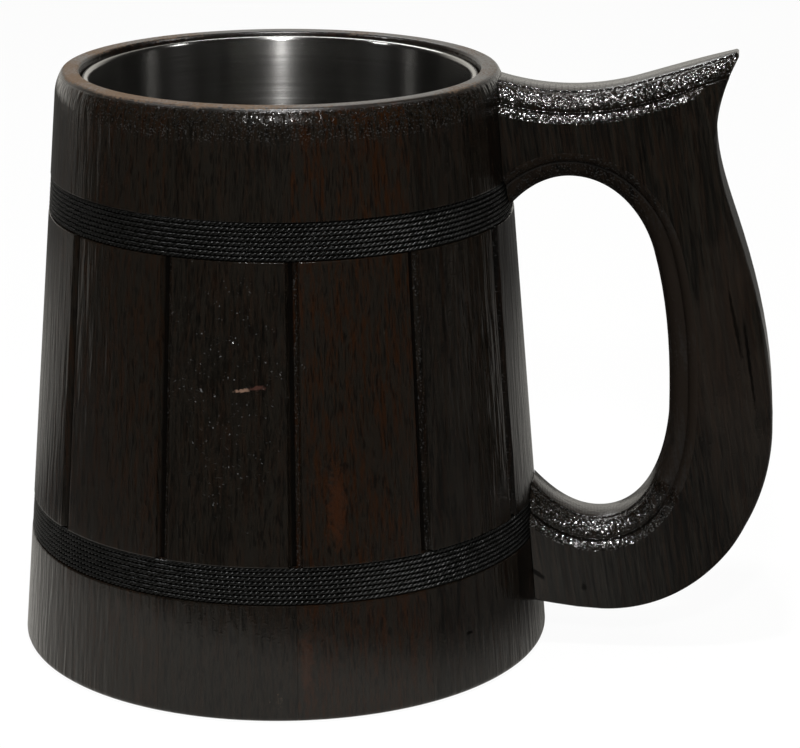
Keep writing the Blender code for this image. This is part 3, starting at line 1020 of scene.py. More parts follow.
@dataclass
class Cup:
    """The steel cup, its sealant and the wood that it stands in.

    Attributes:
        radius: Inside radius.
        wall: Thickness.
        corner: Inside radius of the corner.
        lip: Radius of the rolled lip.
        lip_top: Height of the lip's top.
        floor: Height of the cup's underside.
        seal: Height of the sealant.
        gap: Clearance.
        steps: Facets round.
        steel: Finish of the cup.
        sealant: Finish of the sealant.
    """

    radius: float = 0.0451
    wall: float = 0.0007
    corner: float = 0.0060
    lip: float = 0.00095
    lip_top: float = 0.1387
    floor: float = 0.0163
    seal: float = 0.0007
    gap: float = 0.0003
    steps: int = 192
    steel: BrushedSteel = BrushedSteel()
    sealant: Sealant = Sealant()

    @property
    def bore(self) -> float:
        """Radius of the bore in the wood."""
        return self.radius + self.wall + self.gap

    @property
    def pocket(self) -> float:
        """Radius of the pocket for the lip."""
        return self.radius + 2 * self.lip + self.gap

    @property
    def ledge(self) -> float:
        """Height of the pocket's floor."""
        return self.lip_top - 2 * self.lip - self.seal - 2 * self.gap

    def turn_cup(self) -> Piece:
        """Turn the cup.

        Returns:
            The cup, with its rolled lip.
        """
        quarter = math.pi / 2
        inside = self.floor + self.wall
        corner = (self.radius - self.corner, inside + self.corner)
        lip = (self.radius + self.lip, self.lip_top - self.lip)
        profile = [(0.0, inside), (corner[0] / 2, inside)]
        profile += arc(corner, self.corner, -quarter, 0, 12)
        profile += [(self.radius, corner[1] + (lip[1] - corner[1]) * i / 12) for i in range(1, 12)]
        profile += arc(lip, self.lip, math.pi, -math.acos(self.wall / self.lip - 1), 24)
        profile += arc(corner, self.corner + self.wall, 0, -quarter, 12)
        profile += [(0.0, self.floor)]
        return turned("cup_brushed", profile, False, self.steps)

    def lay_seal(self) -> Piece:
        """Lay the sealant on the ledge, up to the lip.

        Returns:
            The bead.
        """
        low = self.ledge + self.gap
        half = self.seal / 2
        inner, outer = self.bore + half, self.pocket - self.gap - half
        profile = arc((outer, low + half), half, math.pi / 2, -math.pi / 2, 6)
        profile += arc((inner, low + half), half, -math.pi / 2, -1.5 * math.pi, 6)
        return turned("lip_sealant", profile, True, self.steps)

    def build(self) -> list[Piece]:
        """Build and dress the cup and its sealant."""
        cup = dressed(self.turn_cup(), self.steel.make(), "steel_liner")
        return [cup, dressed(self.lay_seal(), self.sealant.make(), "lip_seal")]


@dataclass
class Dowels:
    """The dowels in the handle's roots.

    Attributes:
        cone: The body's outside.
        heights: Heights of the dowels.
        radius: Radius of a hole.
        in_handle: Depth of a hole in the handle.
        in_stave: Depth of a hole in the stave.
        facets: Facets of a hole.
        wood: Finish of the dowels.
    """

    cone: Cone
    heights: tuple[float, ...] = (0.1315, 0.1205, 0.0235, 0.0160)
    radius: float = 0.0028
    in_handle: float = 0.0123
    in_stave: float = 0.0053
    facets: int = 24
    wood: PlainWood = PlainWood()

    def holes(self) -> list[Piece]:
        """Cutters for the holes.

        Returns:
            One cutter for each dowel.
        """
        depth = self.in_stave + self.in_handle
        size = {"segments": self.facets, "radius1": self.radius, "radius2": self.radius, "depth": depth}
        cutters = []
        for i, height in enumerate(self.heights):
            start = self.cone.radius(height) - self.in_stave
            spot = Matrix.Translation((start + depth / 2, 0, height)) @ Matrix.Rotation(math.pi / 2, 4, "Y")
            bm = bmesh.new()
            bmesh.ops.create_cone(bm, cap_ends=True, matrix=spot, **size)
            cutters.append(placed(f"dowel_hole_{i}", bm))
        return cutters

    def build(self) -> list[Piece]:
        """Dress the dowels. They are hidden in the wood, so the CAD's own solids are kept.

        Returns:
            The dowels.
        """
        material = self.wood.make()
        dowels = [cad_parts[f"dowel_{number}"] for number in range(1, len(self.heights) + 1)]
        for dowel in dowels:
            dowel.data.materials.clear()
            dowel.data.materials.append(material)
        return dowels


@dataclass
class Staves:
    """The ring of staves and the bottom inside it.

    Attributes:
        cone: The outside.
        cup: What stands inside.
        bands: The cord bands.
        count: Number of staves.
        first_joint: Angle from the handle to the nearest joint.
        joint: Width of the glue line.
        rim_round: Radius of the rim's outer edge.
        rim_roll: Radius of the soft round below that edge.
        rim_turn: Slope at which the one passes into the other.
        lip_round: Radius of the rim's inner edge.
        base_round: Radius of the base's edge.
        rim_rise: How far the rim stands above the body's height, on average.
        rim_tilt: How far the rim, cut a little out of level, rises at its highest side.
        rim_side: Angle of that side.
        worn_side: Angle of the side from which the mug is drunk.
        worn_depth: How far down the rim is worn.
        torn_side: Angle of the side where the rim's wood was torn.
        torn_depth: How far down it was torn.
        torn_fade: How far above that the tear is full.
        groove: Radius of the routed groove along a joint.
        groove_lip: How far the groove's edges are rounded.
        frayed: Width of the rough wood beside a groove.
        sections: Distances from a joint at which the wall has a section of its own.
        facets: Facets from there to the stave's middle.
        ledge: How far the bottom reaches under the staves.
        bottom: Thickness of the bottom.
        gap: Clearance.
        reds: How red each stave is, from the handle round.
        tones: How pale each stave is.
        board_spread: How far from each other in the tree two neighbours grew.
        bottom_board: Place in the tree, redness and tone of the bottom.
        wood: Finish of the staves.
        bottom_wood: Finish of the bottom.
    """

    cone: Cone
    cup: Cup
    bands: tuple[Band, Band]
    count: int = 12
    first_joint: float = math.radians(10.5)
    joint: float = 0.00004
    rim_round: float = 0.0013
    rim_roll: float = 0.0105
    rim_turn: float = math.radians(32)
    lip_round: float = 0.0008
    base_round: float = 0.0016
    rim_rise: float = 0.0004
    rim_tilt: float = 0.0007
    rim_side: float = math.radians(-84)
    worn_side: float = math.radians(-130)
    worn_depth: float = 0.0012
    torn_side: float = math.radians(-80)
    torn_depth: float = 0.0100
    torn_fade: float = 0.0065
    groove: float = 0.0015
    groove_lip: float = 0.0004
    frayed: float = 0.0028
    sections: tuple[float, ...] = (
        0.00015, 0.0004, 0.0007, 0.0010, 0.0012, 0.00135, 0.0015, 0.00165, 0.0019, 0.0026
    )
    facets: int = 8
    ledge: float = 0.0042
    bottom: float = 0.0160
    gap: float = 0.0003
    reds: tuple[float, ...] = (0.25, 0.5, 0.2, 0.7, 0.3, 0.6, 0.15, 0.55, 0.6, 0.3, 1.0, 0.3)
    tones: tuple[float, ...] = (0.2, 0.6, 0.9, 0.3, 0.7, 0.1, 0.5, 0.8, 1.6, 0.7, 0.9, 0.6)
    board_spread: float = 0.731
    bottom_board: Colour = (0.45, 0.5, 0.5)
    wood: StainedWood = STAVE_WOOD
    bottom_wood: StainedWood = BOTTOM_WOOD

    def rim_line(self) -> list[Point]:
        """The rim's outside, from the top down to the cone.

        Returns:
            Radius and height of each point.
        """
        cone, taper, turn = self.cone, self.cone.taper, self.rim_turn
        fall = self.rim_roll * (math.sin(turn) - math.sin(taper))
        start = cone.height - self.rim_round * (1 - math.sin(turn)) - fall
        wall, rim = (Vector((math.cos(slope), math.sin(slope))) for slope in (taper, turn))
        roll = Vector((cone.radius(start), start)) - self.rim_roll * wall
        edge = roll + (self.rim_roll - self.rim_round) * rim
        points = arc(tuple(edge), self.rim_round, math.pi / 2, turn, 6)
        return points + arc(tuple(roll), self.rim_roll, turn, taper, 8)[1:]

    def rim_at(self, angle: float) -> list[Point]:
        """The rim's outside at an angle, drawn up as the wall is there."""
        return [(radius, height + self.lift(angle, height)) for radius, height in self.rim_line()]

    def profile(self) -> list[Point]:
        """Section of the wall, over the rim, down the outside and up the inside.

        Returns:
            Radius and height of each point.
        """
        cone, quarter, chamfer = self.cone, math.pi / 2, 0.0004
        inner = (self.cup.pocket + self.lip_round, cone.height - self.lip_round)
        points = arc(inner, self.lip_round, math.pi, quarter, 4) + self.rim_line()
        for height in (cone.height - 0.7 * self.torn_depth, cone.height - self.torn_depth):
            points.append((cone.radius(height), height))
        for band in self.bands:
            points += band.notch(cone)
        base_r = cone.radius(self.base_round) - self.base_round / math.cos(cone.taper)
        points += arc((base_r, self.base_round), self.base_round, cone.taper, -quarter, 6)
        seat = self.cup.bore + self.ledge
        points += [(seat + chamfer, 0.0), (seat, chamfer), (seat, self.cup.floor)]
        points += [(self.cup.bore, self.cup.floor), (self.cup.bore, self.cup.ledge)]
        return points + [(self.cup.pocket, self.cup.ledge)]

    def lift(self, angle: float, height: float) -> float:
        """How far the wall is drawn up, from nothing at the upper band to most at the rim.

        Args:
            angle: Angle from the handle.
            height: Height on the level body.

        Returns:
            The distance.
        """
        upper = self.bands[0].high
        share = max(0.0, height - upper) / (self.cone.height - upper)
        return share * (self.rim_rise + self.rim_tilt * math.cos(angle - self.rim_side))

    def groove_depth(self, away: float) -> float:
        """Depth of the routed groove.

        Args:
            away: Distance from the joint.

        Returns:
            The depth there.
        """
        inner = self.groove - self.groove_lip / 2
        if away <= inner:
            return math.sqrt(self.groove**2 - away**2)
        edge = math.sqrt(self.groove**2 - inner**2)
        share = min(1.0, (away - inner) / self.groove_lip)
        return edge * (1 - share) ** 2

    def build_stave(self, number: int) -> Piece:
        """Turn one stave and rout its half of the grooves.

        Args:
            number: Its number, from the handle round.

        Returns:
            The stave.
        """
        cone = self.cone
        middle_r = cone.radius(cone.height / 2)
        half = math.pi / self.count - self.joint / 2 / middle_r
        middle = self.first_joint + (number - 0.5) * 2 * math.pi / self.count
        stops = [0.0] + [s / middle_r for s in self.sections]
        stops += [stops[-1] + (half - stops[-1]) * i / self.facets for i in range(1, self.facets + 1)]
        stops += [2 * half - s for s in reversed(stops[:-1])]
        bm = bmesh.new()
        face = bm.faces.new([bm.verts.new((r, 0.0, z)) for r, z in self.profile()])
        section = [face, *face.edges, *face.verts]
        bmesh.ops.rotate(bm, verts=bm.verts, matrix=Matrix.Rotation(middle - half, 3, "Z"))
        for start, end in zip(stops, stops[1:]):
            spun = bmesh.ops.spin(bm, geom=section, axis=(0, 0, 1), angle=end - start, steps=1)
            section = spun["geom_last"]
        bmesh.ops.holes_fill(bm, edges=[e for e in bm.edges if e.is_boundary], sides=0)

        upper, lower = self.bands
        skin, slack = 0.0004, 1e-6
        for vert in bm.verts:
            angle = math.atan2(vert.co.y, vert.co.x)
            vert.co.z += self.lift(angle, vert.co.z)
            across = abs(math.remainder(angle - middle, 2 * math.pi))
            between = lower.high - slack < vert.co.z < upper.low + slack
            if between and vert.co.xy.length > cone.radius(vert.co.z) - skin:
                deep = self.groove_depth((half - across) * middle_r)
                vert.co.xy *= 1 - deep / vert.co.xy.length
        stave = placed(f"stave_{number + 1:02d}_wood", bm, 40.0)
        board = ((number * self.board_spread) % 1.0, self.reds[number], self.tones[number])
        paint(stave.data, "board", [board] * len(stave.data.vertices))
        paint(stave.data, "touch", [self.touch(vert.co, middle, half) for vert in stave.data.vertices])
        return stave

    def touch(self, co: Vector, middle: float, half: float) -> Colour:
        """How a point of a stave was handled.

        Args:
            co: The point.
            middle: Angle of the stave's middle.
            half: Half of the stave's angle.

        Returns:
            Wear, roughness of the cut, and how much painted shade lies in a groove, more of it on one side of
            the joint.
        """
        angle = math.atan2(co.y, co.x)
        below = max(0.0, self.cone.height + self.lift(angle, self.cone.height) - co.z)
        wear = clamped(1 - below / self.worn_depth)
        wear *= 0.56 + 0.38 * clamped(math.cos(angle - self.worn_side))
        rough = 0.22 * clamped((math.cos(angle - self.torn_side) - 0.35) / 0.35)
        rough *= clamped(min(below / self.worn_depth, (self.torn_depth - below) / self.torn_fade))
        groove = 0.0
        across = math.remainder(angle - middle, 2 * math.pi)
        away = (half - abs(across)) * co.xy.length
        upper, lower = self.bands
        if lower.high <= co.z <= upper.low:
            rough = clamped(1 - away / self.frayed) * (0.16 if across < 0 else 0.04)
            # Painted shade in the groove, wide on one side of the joint and a third as wide on the other.
            groove = clamped(1 - away / (self.groove if across > 0 else self.groove / 3))
        return (wear, rough, groove)

    def build_bottom(self) -> Piece:
        """Turn the bottom.

        Returns:
            The disc.
        """
        radius = self.cup.bore + self.ledge - self.gap
        chamfer, worn = 0.0006, 0.0015
        profile = [(0.0, self.bottom), (radius / 2, self.bottom), (radius - chamfer, self.bottom)]
        profile += [(radius, self.bottom - chamfer), (radius, chamfer), (radius - chamfer, 0.0)]
        profile += [(radius * i / 4, 0.0) for i in (3, 2, 1, 0)]
        disc = turned("bottom_wood", profile, False, 144)
        paint(disc.data, "board", [self.bottom_board] * len(disc.data.vertices))
        edge = [clamped(1 - (radius - v.co.xy.length) / worn) for v in disc.data.vertices]
        paint(disc.data, "touch", [(0.5 * e, 0.3, 0.0) for e in edge])
        return disc

    def build(self, dowels: Dowels) -> list[Piece]:
        """Build and dress the staves and the bottom.

        Args:
            dowels: The dowels that the stave behind the handle is bored for.

        Returns:
            The staves, from the handle round, and the bottom.
        """
        pieces, wood = [], self.wood.make()
        for number in range(self.count):
            stave = self.build_stave(number)
            if number == 0:
                carved(stave, dowels.holes())
            pieces.append(dressed(stave, wood, f"stave_{number + 1:02d}"))
        bottom = dressed(self.build_bottom(), self.bottom_wood.make(), "bottom_disc")
        return [*pieces, bottom]


@dataclass
class Handle:
    """The handle, sawn from a board and moulded with a router.

    Heights are from the base, drops from the rim and outs from the body's surface.

    Attributes:
        cone: The body's outside.
        thickness: Of the board.
        edge: Radius of the sawn edges.
        outer: Radius of the round along the outer edge.
        bearing: Radius of the bit's bearing.
        quirk: Width of the quirk beside the flat.
        large: Radius of the large round.
        step: Width of the step.
        small: Radius of the small round.
        run_out: Where the small round stops short of the tip.
        moulding: Width of the moulded strip.
        ramp: Slope of the thumb rest, in degrees.
        tip_out: Where the tip's corner is, out from the rim.
        nose: How far that corner is rounded.
        bury: How far the board reaches into the body before it is coped.
        glue: Width of the glue line.
        facet: Turn from facet to facet.
        beak: Share of the thickness that is rounded away at the tip.
        beak_start: Where that starts, out from the rim.
        beak_length: How long it is.
        beak_drop: Where it starts, below the rim.
        beak_fade: Height over which it comes in.
        board: Place in the tree, redness and tone of the board.
        wood: Finish of the board.
    """

    cone: Cone
    thickness: float = 0.0212
    edge: float = 0.0008
    outer: float = 0.0026
    bearing: float = 0.0060
    quirk: float = 0.0004
    large: float = 0.0035
    step: float = 0.0006
    small: float = 0.0023
    run_out: float = 0.0400
    moulding: float = 0.0090
    ramp: float = 17.0
    tip_out: float = 0.0554
    nose: float = 0.0013
    bury: float = 0.008
    glue: float = 0.00008
    facet: float = math.radians(2.0)
    beak: float = 0.5
    beak_start: float = 0.0396
    beak_length: float = 0.0160
    beak_drop: float = 0.012
    beak_fade: float = 0.010
    board: Colour = (0.27, 0.32, 0.45)
    wood: StainedWood = HANDLE_WOOD

    @property
    def beak_corner(self) -> Point:
        """Distance from the mug's axis and height at which the tip starts to narrow."""
        return self.cone.rim + self.beak_start, self.cone.height - self.beak_drop

    def at(self, out: float, height: float) -> Vector:
        """Point that lies a distance out from the body."""
        return Vector((self.cone.radius(height) + out, height))

    def under(self, out: float, drop: float) -> Vector:
        """The same, with the height counted down from the rim."""
        return self.at(out, self.cone.height - drop)

    @staticmethod
    def heading(angle: float) -> Vector:
        """Unit vector in the board's plane, from degrees."""
        return Vector((math.cos(math.radians(angle)), math.sin(math.radians(angle))))

    def flow(self, stations: Sequence[tuple[Vector, float]]) -> list[Vector]:
        """Smooth line through stations.

        Args:
            stations: Points, each with a heading in degrees.

        Returns:
            Points along the line.
        """
        points: list[Vector] = []
        for (start, leave), (end, arrive) in zip(stations, stations[1:]):
            turn = abs(math.remainder(math.radians(arrive - leave), 2 * math.pi))
            reach = (end - start).length / (3 * math.cos(turn / 4) ** 2)
            handles = start + self.heading(leave) * reach, end - self.heading(arrive) * reach
            steps = 1 + int(turn / self.facet)
            points += [p.xy for p in interpolate_bezier(start, *handles, end, steps + 1)[:-1]]
        return points + [stations[-1][0]]

    def top_edge(self) -> tuple[list[Vector], Vector]:
        """The top, from inside the body to the tip.

        Returns:
            Points up to the start of the ramp, and the tip's corner.
        """
        trough = self.under(0.0150, 0.0032)
        radius, ramp = 0.0580, math.radians(self.ramp)
        first = -math.asin((trough.x - self.cone.rim + self.bury) / radius)
        quarter = math.pi / 2
        middle = (trough.x, trough.y + radius)
        points = [Vector(p) for p in arc(middle, radius, first - quarter, ramp - quarter, 28)]
        run = (self.cone.rim + self.tip_out - points[-1].x) / math.cos(ramp)
        return points, points[-1] + self.heading(self.ramp) * run

    def outer_edge(self, tip: Vector) -> list[Vector]:
        """Round the tip, down the neck and the belly and along the underside.

        Args:
            tip: The tip's corner.

        Returns:
            Points along the edge.
        """
        heel, foot = self.at(0.0151, 0.0101), self.at(-self.bury, 0.0127)
        toe = math.degrees(math.atan2(foot.y - heel.y, foot.x - heel.x))
        return self.flow(
            [
                (tip - self.heading(self.ramp) * self.nose, self.ramp),
                (tip + self.heading(-118) * self.nose, -118),
                (self.under(0.0493, 0.0116), -90),
                (self.under(0.0529, 0.0348), -70.5),
                (self.at(0.0586, 0.0560), -90),
                (heel, -180),
                (foot, toe),
            ]
        )

    def loop_edge(self) -> list[Vector]:
        """The finger loop, from the body along its floor, up the grip and over its arch.

        Returns:
            Points along the edge.
        """
        floor, arch = self.at(0.0, 0.0402), self.under(0.0014, 0.0292)
        return self.flow(
            [
                (floor - self.heading(-46) * self.bury, -46),
                (floor, -46),
                (self.at(0.0148, 0.0319), 0),
                (self.at(0.0343, 0.0608), 90),
                (self.under(0.0330, 0.0411), 106),
                (self.under(0.0144, 0.0235), 180),
                (arch, 225),
                (arch + self.heading(225) * self.bury, 225),
            ]
        )

    def large_bit(self) -> list[Point]:
        """Section of the bit for the quirk and the large round.

        Returns:
            Distance from the edge and depth in the face, the flat's corner a little rounded.
        """
        deep, soft, ease = self.large + self.small, 0.00026, 0.0001
        middle = (self.quirk + self.large, deep)
        section = [(-self.quirk, deep + 1.5 * soft), (-0.2 * soft, deep + 1.2 * soft)]
        section += arc((soft, deep + soft), soft, math.pi * 1.05, math.pi * 1.5, 3)
        section += arc(middle, self.large, math.pi, 1.5 * math.pi, 10)
        end = middle[0] + self.step
        return section + [(end - ease, self.small), (end, self.small - ease), (end, -self.small)]

    def small_bit(self) -> list[Point]:
        """Section of the bit for the small round beyond the step.

        Returns:
            Distance from the edge and depth in the face.
        """
        end = self.quirk + self.large + self.step
        section = arc((end + self.small, self.small), self.small, math.pi * 1.05, 1.5 * math.pi, 8)
        lead = [(-self.quirk, section[0][1]), (end - self.step / 2, section[0][1])]
        return lead + section + [(end + self.small, -self.small)]

    def outer_bit(self) -> list[Point]:
        """Section of the bit for the round along the outer edge."""
        section = arc((self.outer, self.outer), self.outer, math.pi * 1.05, 1.5 * math.pi, 8)
        return [(-self.quirk, section[0][1])] + section + [(self.outer, -self.small)]

    def outer_path(self, edge: Sequence[Vector]) -> list[Vector]:
        """Path of that bit, which comes in below the tip and leaves above the underside.

        Args:
            edge: Points along the outer edge, from the tip.

        Returns:
            The path.
        """
        start, come_in, stop, leave = 0.0035, 0.012, 0.020, 0.014
        path, way = [], 0.0
        for before, here in zip(edge, edge[1:]):
            step = here - before
            way += step.length
            if way > start and here.y > stop:
                off = max(0.0, 1 - (way - start) / come_in) ** 2 + max(0.0, 1 - (here.y - stop) / leave) ** 2
                path.append(here + Vector((-step.y, step.x)).normalized() * off * (self.outer + self.quirk))
        return path

    def routed(self, name: str, edge: Sequence[Vector], bit: Sequence[Point], run_out: bool = False) -> Piece:
        """Sweep a bit along an edge, on both faces of the board.

        Args:
            name: The cutter's name.
            edge: Points along the edge, with the board on the right.
            bit: Section of the bit.
            run_out: Whether the bit turns away from the edge at the end.

        Returns:
            The cutter.
        """
        half = self.thickness / 2
        upper = [(self.bearing + away, half - deep) for away, deep in bit]
        upper.append((self.bearing - 2 * self.quirk, upper[-1][1]))
        section = upper + [(u, -v) for u, v in reversed(upper)]
        stops = [edge[0], *((a + b) / 2 for a, b in zip(edge, edge[1:])), edge[-1]]
        ways = [(b - a).normalized() for a, b in zip(stops, stops[1:])]
        poses = []
        for i, stop in enumerate(stops):
            way = (ways[max(i - 1, 0)] + ways[min(i, len(ways) - 1)]).normalized()
            poses.append((stop + Vector((-way.y, way.x)) * self.bearing, way))
        if run_out:
            spot, way = poses[-1]
            swing, creep = math.radians(7.5), 0.00002
            poses += [(spot + way * creep * i, Matrix.Rotation(swing * i, 2) @ way) for i in range(1, 19)]
        bm = bmesh.new()
        spots = [self.pose(*pose) for pose in poses]
        face = bm.faces.new([bm.verts.new(spots[0] @ Vector((u, v, 0.0))) for u, v in section])
        for before, after in zip(spots, spots[1:]):
            grown = bmesh.ops.extrude_face_region(bm, geom=[face, *face.edges])["geom"]
            face = next(part for part in grown if isinstance(part, bmesh.types.BMFace))
            bmesh.ops.transform(bm, matrix=after @ before.inverted(), verts=face.verts)
        return placed(name, bm)

    @staticmethod
    def pose(spot: Vector, way: Vector) -> Matrix:
        """Where the bit stands: X points into the board, Y across it and Z the way it travels."""
        axes = Matrix(((way.y, 0.0, way.x), (0.0, 1.0, 0.0), (-way.x, 0.0, way.y)))
        return Matrix.Translation((spot.x, 0.0, spot.y)) @ axes.to_4x4()

    def shape(self, dowels: Dowels, rim: Sequence[Point]) -> Piece:
        """Saw, round, rout and cope the handle.

        Args:
            dowels: The dowels that it is bored for.
            rim: Radius and height of points of the body's rim.

        Returns:
            The handle.
        """
        half = self.thickness / 2
        top, tip = self.top_edge()
        loop, outer = self.loop_edge(), self.outer_edge(tip)
        bm = bmesh.new()
        face = bm.faces.new([bm.verts.new((p.x, -half, p.y)) for p in top + outer + loop])
        grown = bmesh.ops.extrude_face_region(bm, geom=[face])["geom"]
        back = [part for part in grown if isinstance(part, bmesh.types.BMVert)]
        bmesh.ops.translate(bm, verts=back, vec=(0, self.thickness, 0))
        sawn = [e for e in bm.edges if abs(e.verts[0].co.y - e.verts[1].co.y) < half]
        rounding = {"offset": self.edge, "segments": 4, "profile": 0.5, "clamp_overlap": False}
        bmesh.ops.bevel(bm, geom=sawn, affect="EDGES", material=-1, **rounding)
        handle = placed("handle_wood", bm)

        ahead = self.heading(self.ramp)
        past = tip + ahead * self.bearing
        stop = top[-1] + ahead * (self.cone.rim + self.run_out - top[-1].x) / ahead.x
        cuts = [
            self.cope(rim),
            self.routed("top_large_round", top + [past], self.large_bit()),
            self.routed("top_small_round", top + [stop], self.small_bit(), run_out=True),
            self.routed("loop_large_round", loop, self.large_bit()),
            self.routed("loop_small_round", loop, self.small_bit()),
            self.routed("outer_round", self.outer_path(outer), self.outer_bit()),
        ]
        carved(handle, cuts + dowels.holes())
        ramp = [top[-1].lerp(tip, i / 12) for i in range(1, 13)]
        past_tip = 0.0095
        neck = [point for point in outer if (point - tip).length > past_tip]
        self.slice_tip(handle.data)
        self.sharpen(handle.data)
        self.paint_cuts(handle.data, (top + ramp, loop), neck)
        self.narrow_tip(handle.data)
        return handle

    def build(self, dowels: Dowels, rim: Sequence[Point]) -> Piece:
        """Shape the handle for the dowels and the body's rim, and dress it."""
        return dressed(self.shape(dowels, rim), self.wood.make(), "handle")

    def cope(self, rim: Sequence[Point]) -> Piece:
        """Cutter that fits the handle's ends to the body.

        Args:
            rim: Radius and height of points of the body's rim.

        Returns:
            The body's outside, a glue line larger.
        """
        past = 0.05
        low, high = -past, self.cone.height + past
        outside = [(rim[0][0], high), *rim, (self.cone.radius(low), low)]
        outside = [(radius + self.glue, height) for radius, height in outside]
        return turned("cope", [(0.0, high), *outside, (0.0, low)], False, 360)

    def slice_tip(self, mesh: bpy.types.Mesh) -> None:
        """Clean up after the cuts, and slice the tip so that it can be narrowed.

        Args:
            mesh: The handle's mesh.
        """
        merge, across, up = 2e-6, 0.001, 0.002
        bm = bmesh.new()
        bm.from_mesh(mesh)
        bmesh.ops.remove_doubles(bm, verts=bm.verts, dist=merge)
        bmesh.ops.dissolve_degenerate(bm, dist=merge, edges=bm.edges)
        start, below = self.beak_corner
        planes = [((start + across * i, 0.0, 0.0), (1, 0, 0)) for i in range(1, 16)]
        planes += [((0.0, 0.0, below + up * i), (0, 0, 1)) for i in range(6)]
        for spot, way in planes:
            whole = [*bm.verts, *bm.edges, *bm.faces]
            bmesh.ops.bisect_plane(bm, geom=whole, dist=1e-7, plane_co=spot, plane_no=way)
        bm.to_mesh(mesh)
        bm.free()

    def narrow_tip(self, mesh: bpy.types.Mesh) -> None:
        """Narrow the tip like a beak.

        Args:
            mesh: The handle's mesh.
        """
        start, below = self.beak_corner
        for vert in mesh.vertices:
            along = clamped((vert.co.x - start) / self.beak_length)
            above = clamped((vert.co.z - below) / self.beak_fade)
            vert.co.y *= 1 - self.beak * along**2 * above

    def flats(self, mesh: bpy.types.Mesh) -> list[bool]:
        """For each face of the mesh, whether it lies in one of the board's two faces."""
        skin = self.thickness / 2 - 1e-5
        return [abs(p.normal.y) > 0.9999 and abs(p.center.y) > skin for p in mesh.polygons]

    def sharpen(self, mesh: bpy.types.Mesh) -> None:
        """Shade the mesh smooth, but for its sharp edges and the edges of the board's faces.

        Args:
            mesh: The handle's mesh.
        """
        mesh.shade_smooth()
        mesh.set_sharp_from_angle(angle=math.radians(32))
        sides: dict[tuple[int, int], set[bool]] = {}
        for polygon, flat in zip(mesh.polygons, self.flats(mesh)):
            for key in polygon.edge_keys:
                sides.setdefault(key, set()).add(flat)
        layer = mesh.attributes.get("sharp_edge") or mesh.attributes.new("sharp_edge", "BOOLEAN", "EDGE")
        for edge in mesh.edges:
            if len(sides[edge.key]) > 1:
                layer.data[edge.index].value = True

    def paint_cuts(
        self, mesh: bpy.types.Mesh, moulded: Sequence[Sequence[Vector]], rounded: Sequence[Vector]
    ) -> None:
        """Paint where the board is moulded: torn across the grain, worn dull where fingers hold it, and with
        painted shade along the step's wall.

        Args:
            mesh: The handle's mesh.
            moulded: Points along each moulded edge.
            rounded: Points along the outer edge.
        """
        spots = [(point, 0.0, 0.0) for point in rounded]
        for edge in moulded:
            for point, after in zip(edge, edge[1:]):
                across = (after - point).normalized().x
                torn = clamped((abs(across) - 0.30) / 0.35) * (1.0 if across > 0 else 0.2)
                spots.append((point, torn, max(0.0, 1 - 1.5 * torn)))
        tree = kdtree.KDTree(len(spots))
        for i, (point, *_) in enumerate(spots):
            tree.insert((point.x, 0.0, point.y), i)
        tree.balance()
        shoulder, shadow = self.quirk + self.large + self.step, 0.0004
        touch = []
        for polygon, flat in zip(mesh.polygons, self.flats(mesh)):
            _, nearest, away = tree.find((polygon.center.x, 0.0, polygon.center.z))
            _, torn, dull = spots[nearest]
            facing = abs(polygon.normal.y)
            near = not flat and away < self.moulding
            step = near and facing < 0.5 and abs(away - shoulder) < shadow
            # The third value paints shade along the step's wall, where the cut is torn.
            touch.append((dull * near, torn * (near and 0.03 < facing < 0.999), 0.7 * torn * step))
        paint(mesh, "touch", touch, Domain.FACE)
        paint(mesh, "board", [self.board] * len(mesh.polygons), Domain.FACE)


# Studio


@dataclass(frozen=True)
class Lamp:
    """A round lamp.

    Attributes:
        name: Its name.
        spot: Its place.
        size: Its diameter.
        level: Brightness of white paper that faces it at the mug.
    """

    name: str
    spot: Colour
    size: float
    level: float

    def hang(self, target: Vector) -> None:
        """Hang the lamp.

        Args:
            target: The point that it faces.
        """
        aim = Vector(self.spot) - target
        data = bpy.data.lights.new(self.name, "AREA")
        data.shape = "DISK"
        data.size = self.size
        data.energy = self.level * math.pi**2 * aim.length_squared
        lamp = bpy.data.objects.new(self.name, data)
        lamp.location = self.spot
        lamp.rotation_euler = aim.to_track_quat("Z", "Y").to_euler()
        bpy.context.scene.collection.objects.link(lamp)


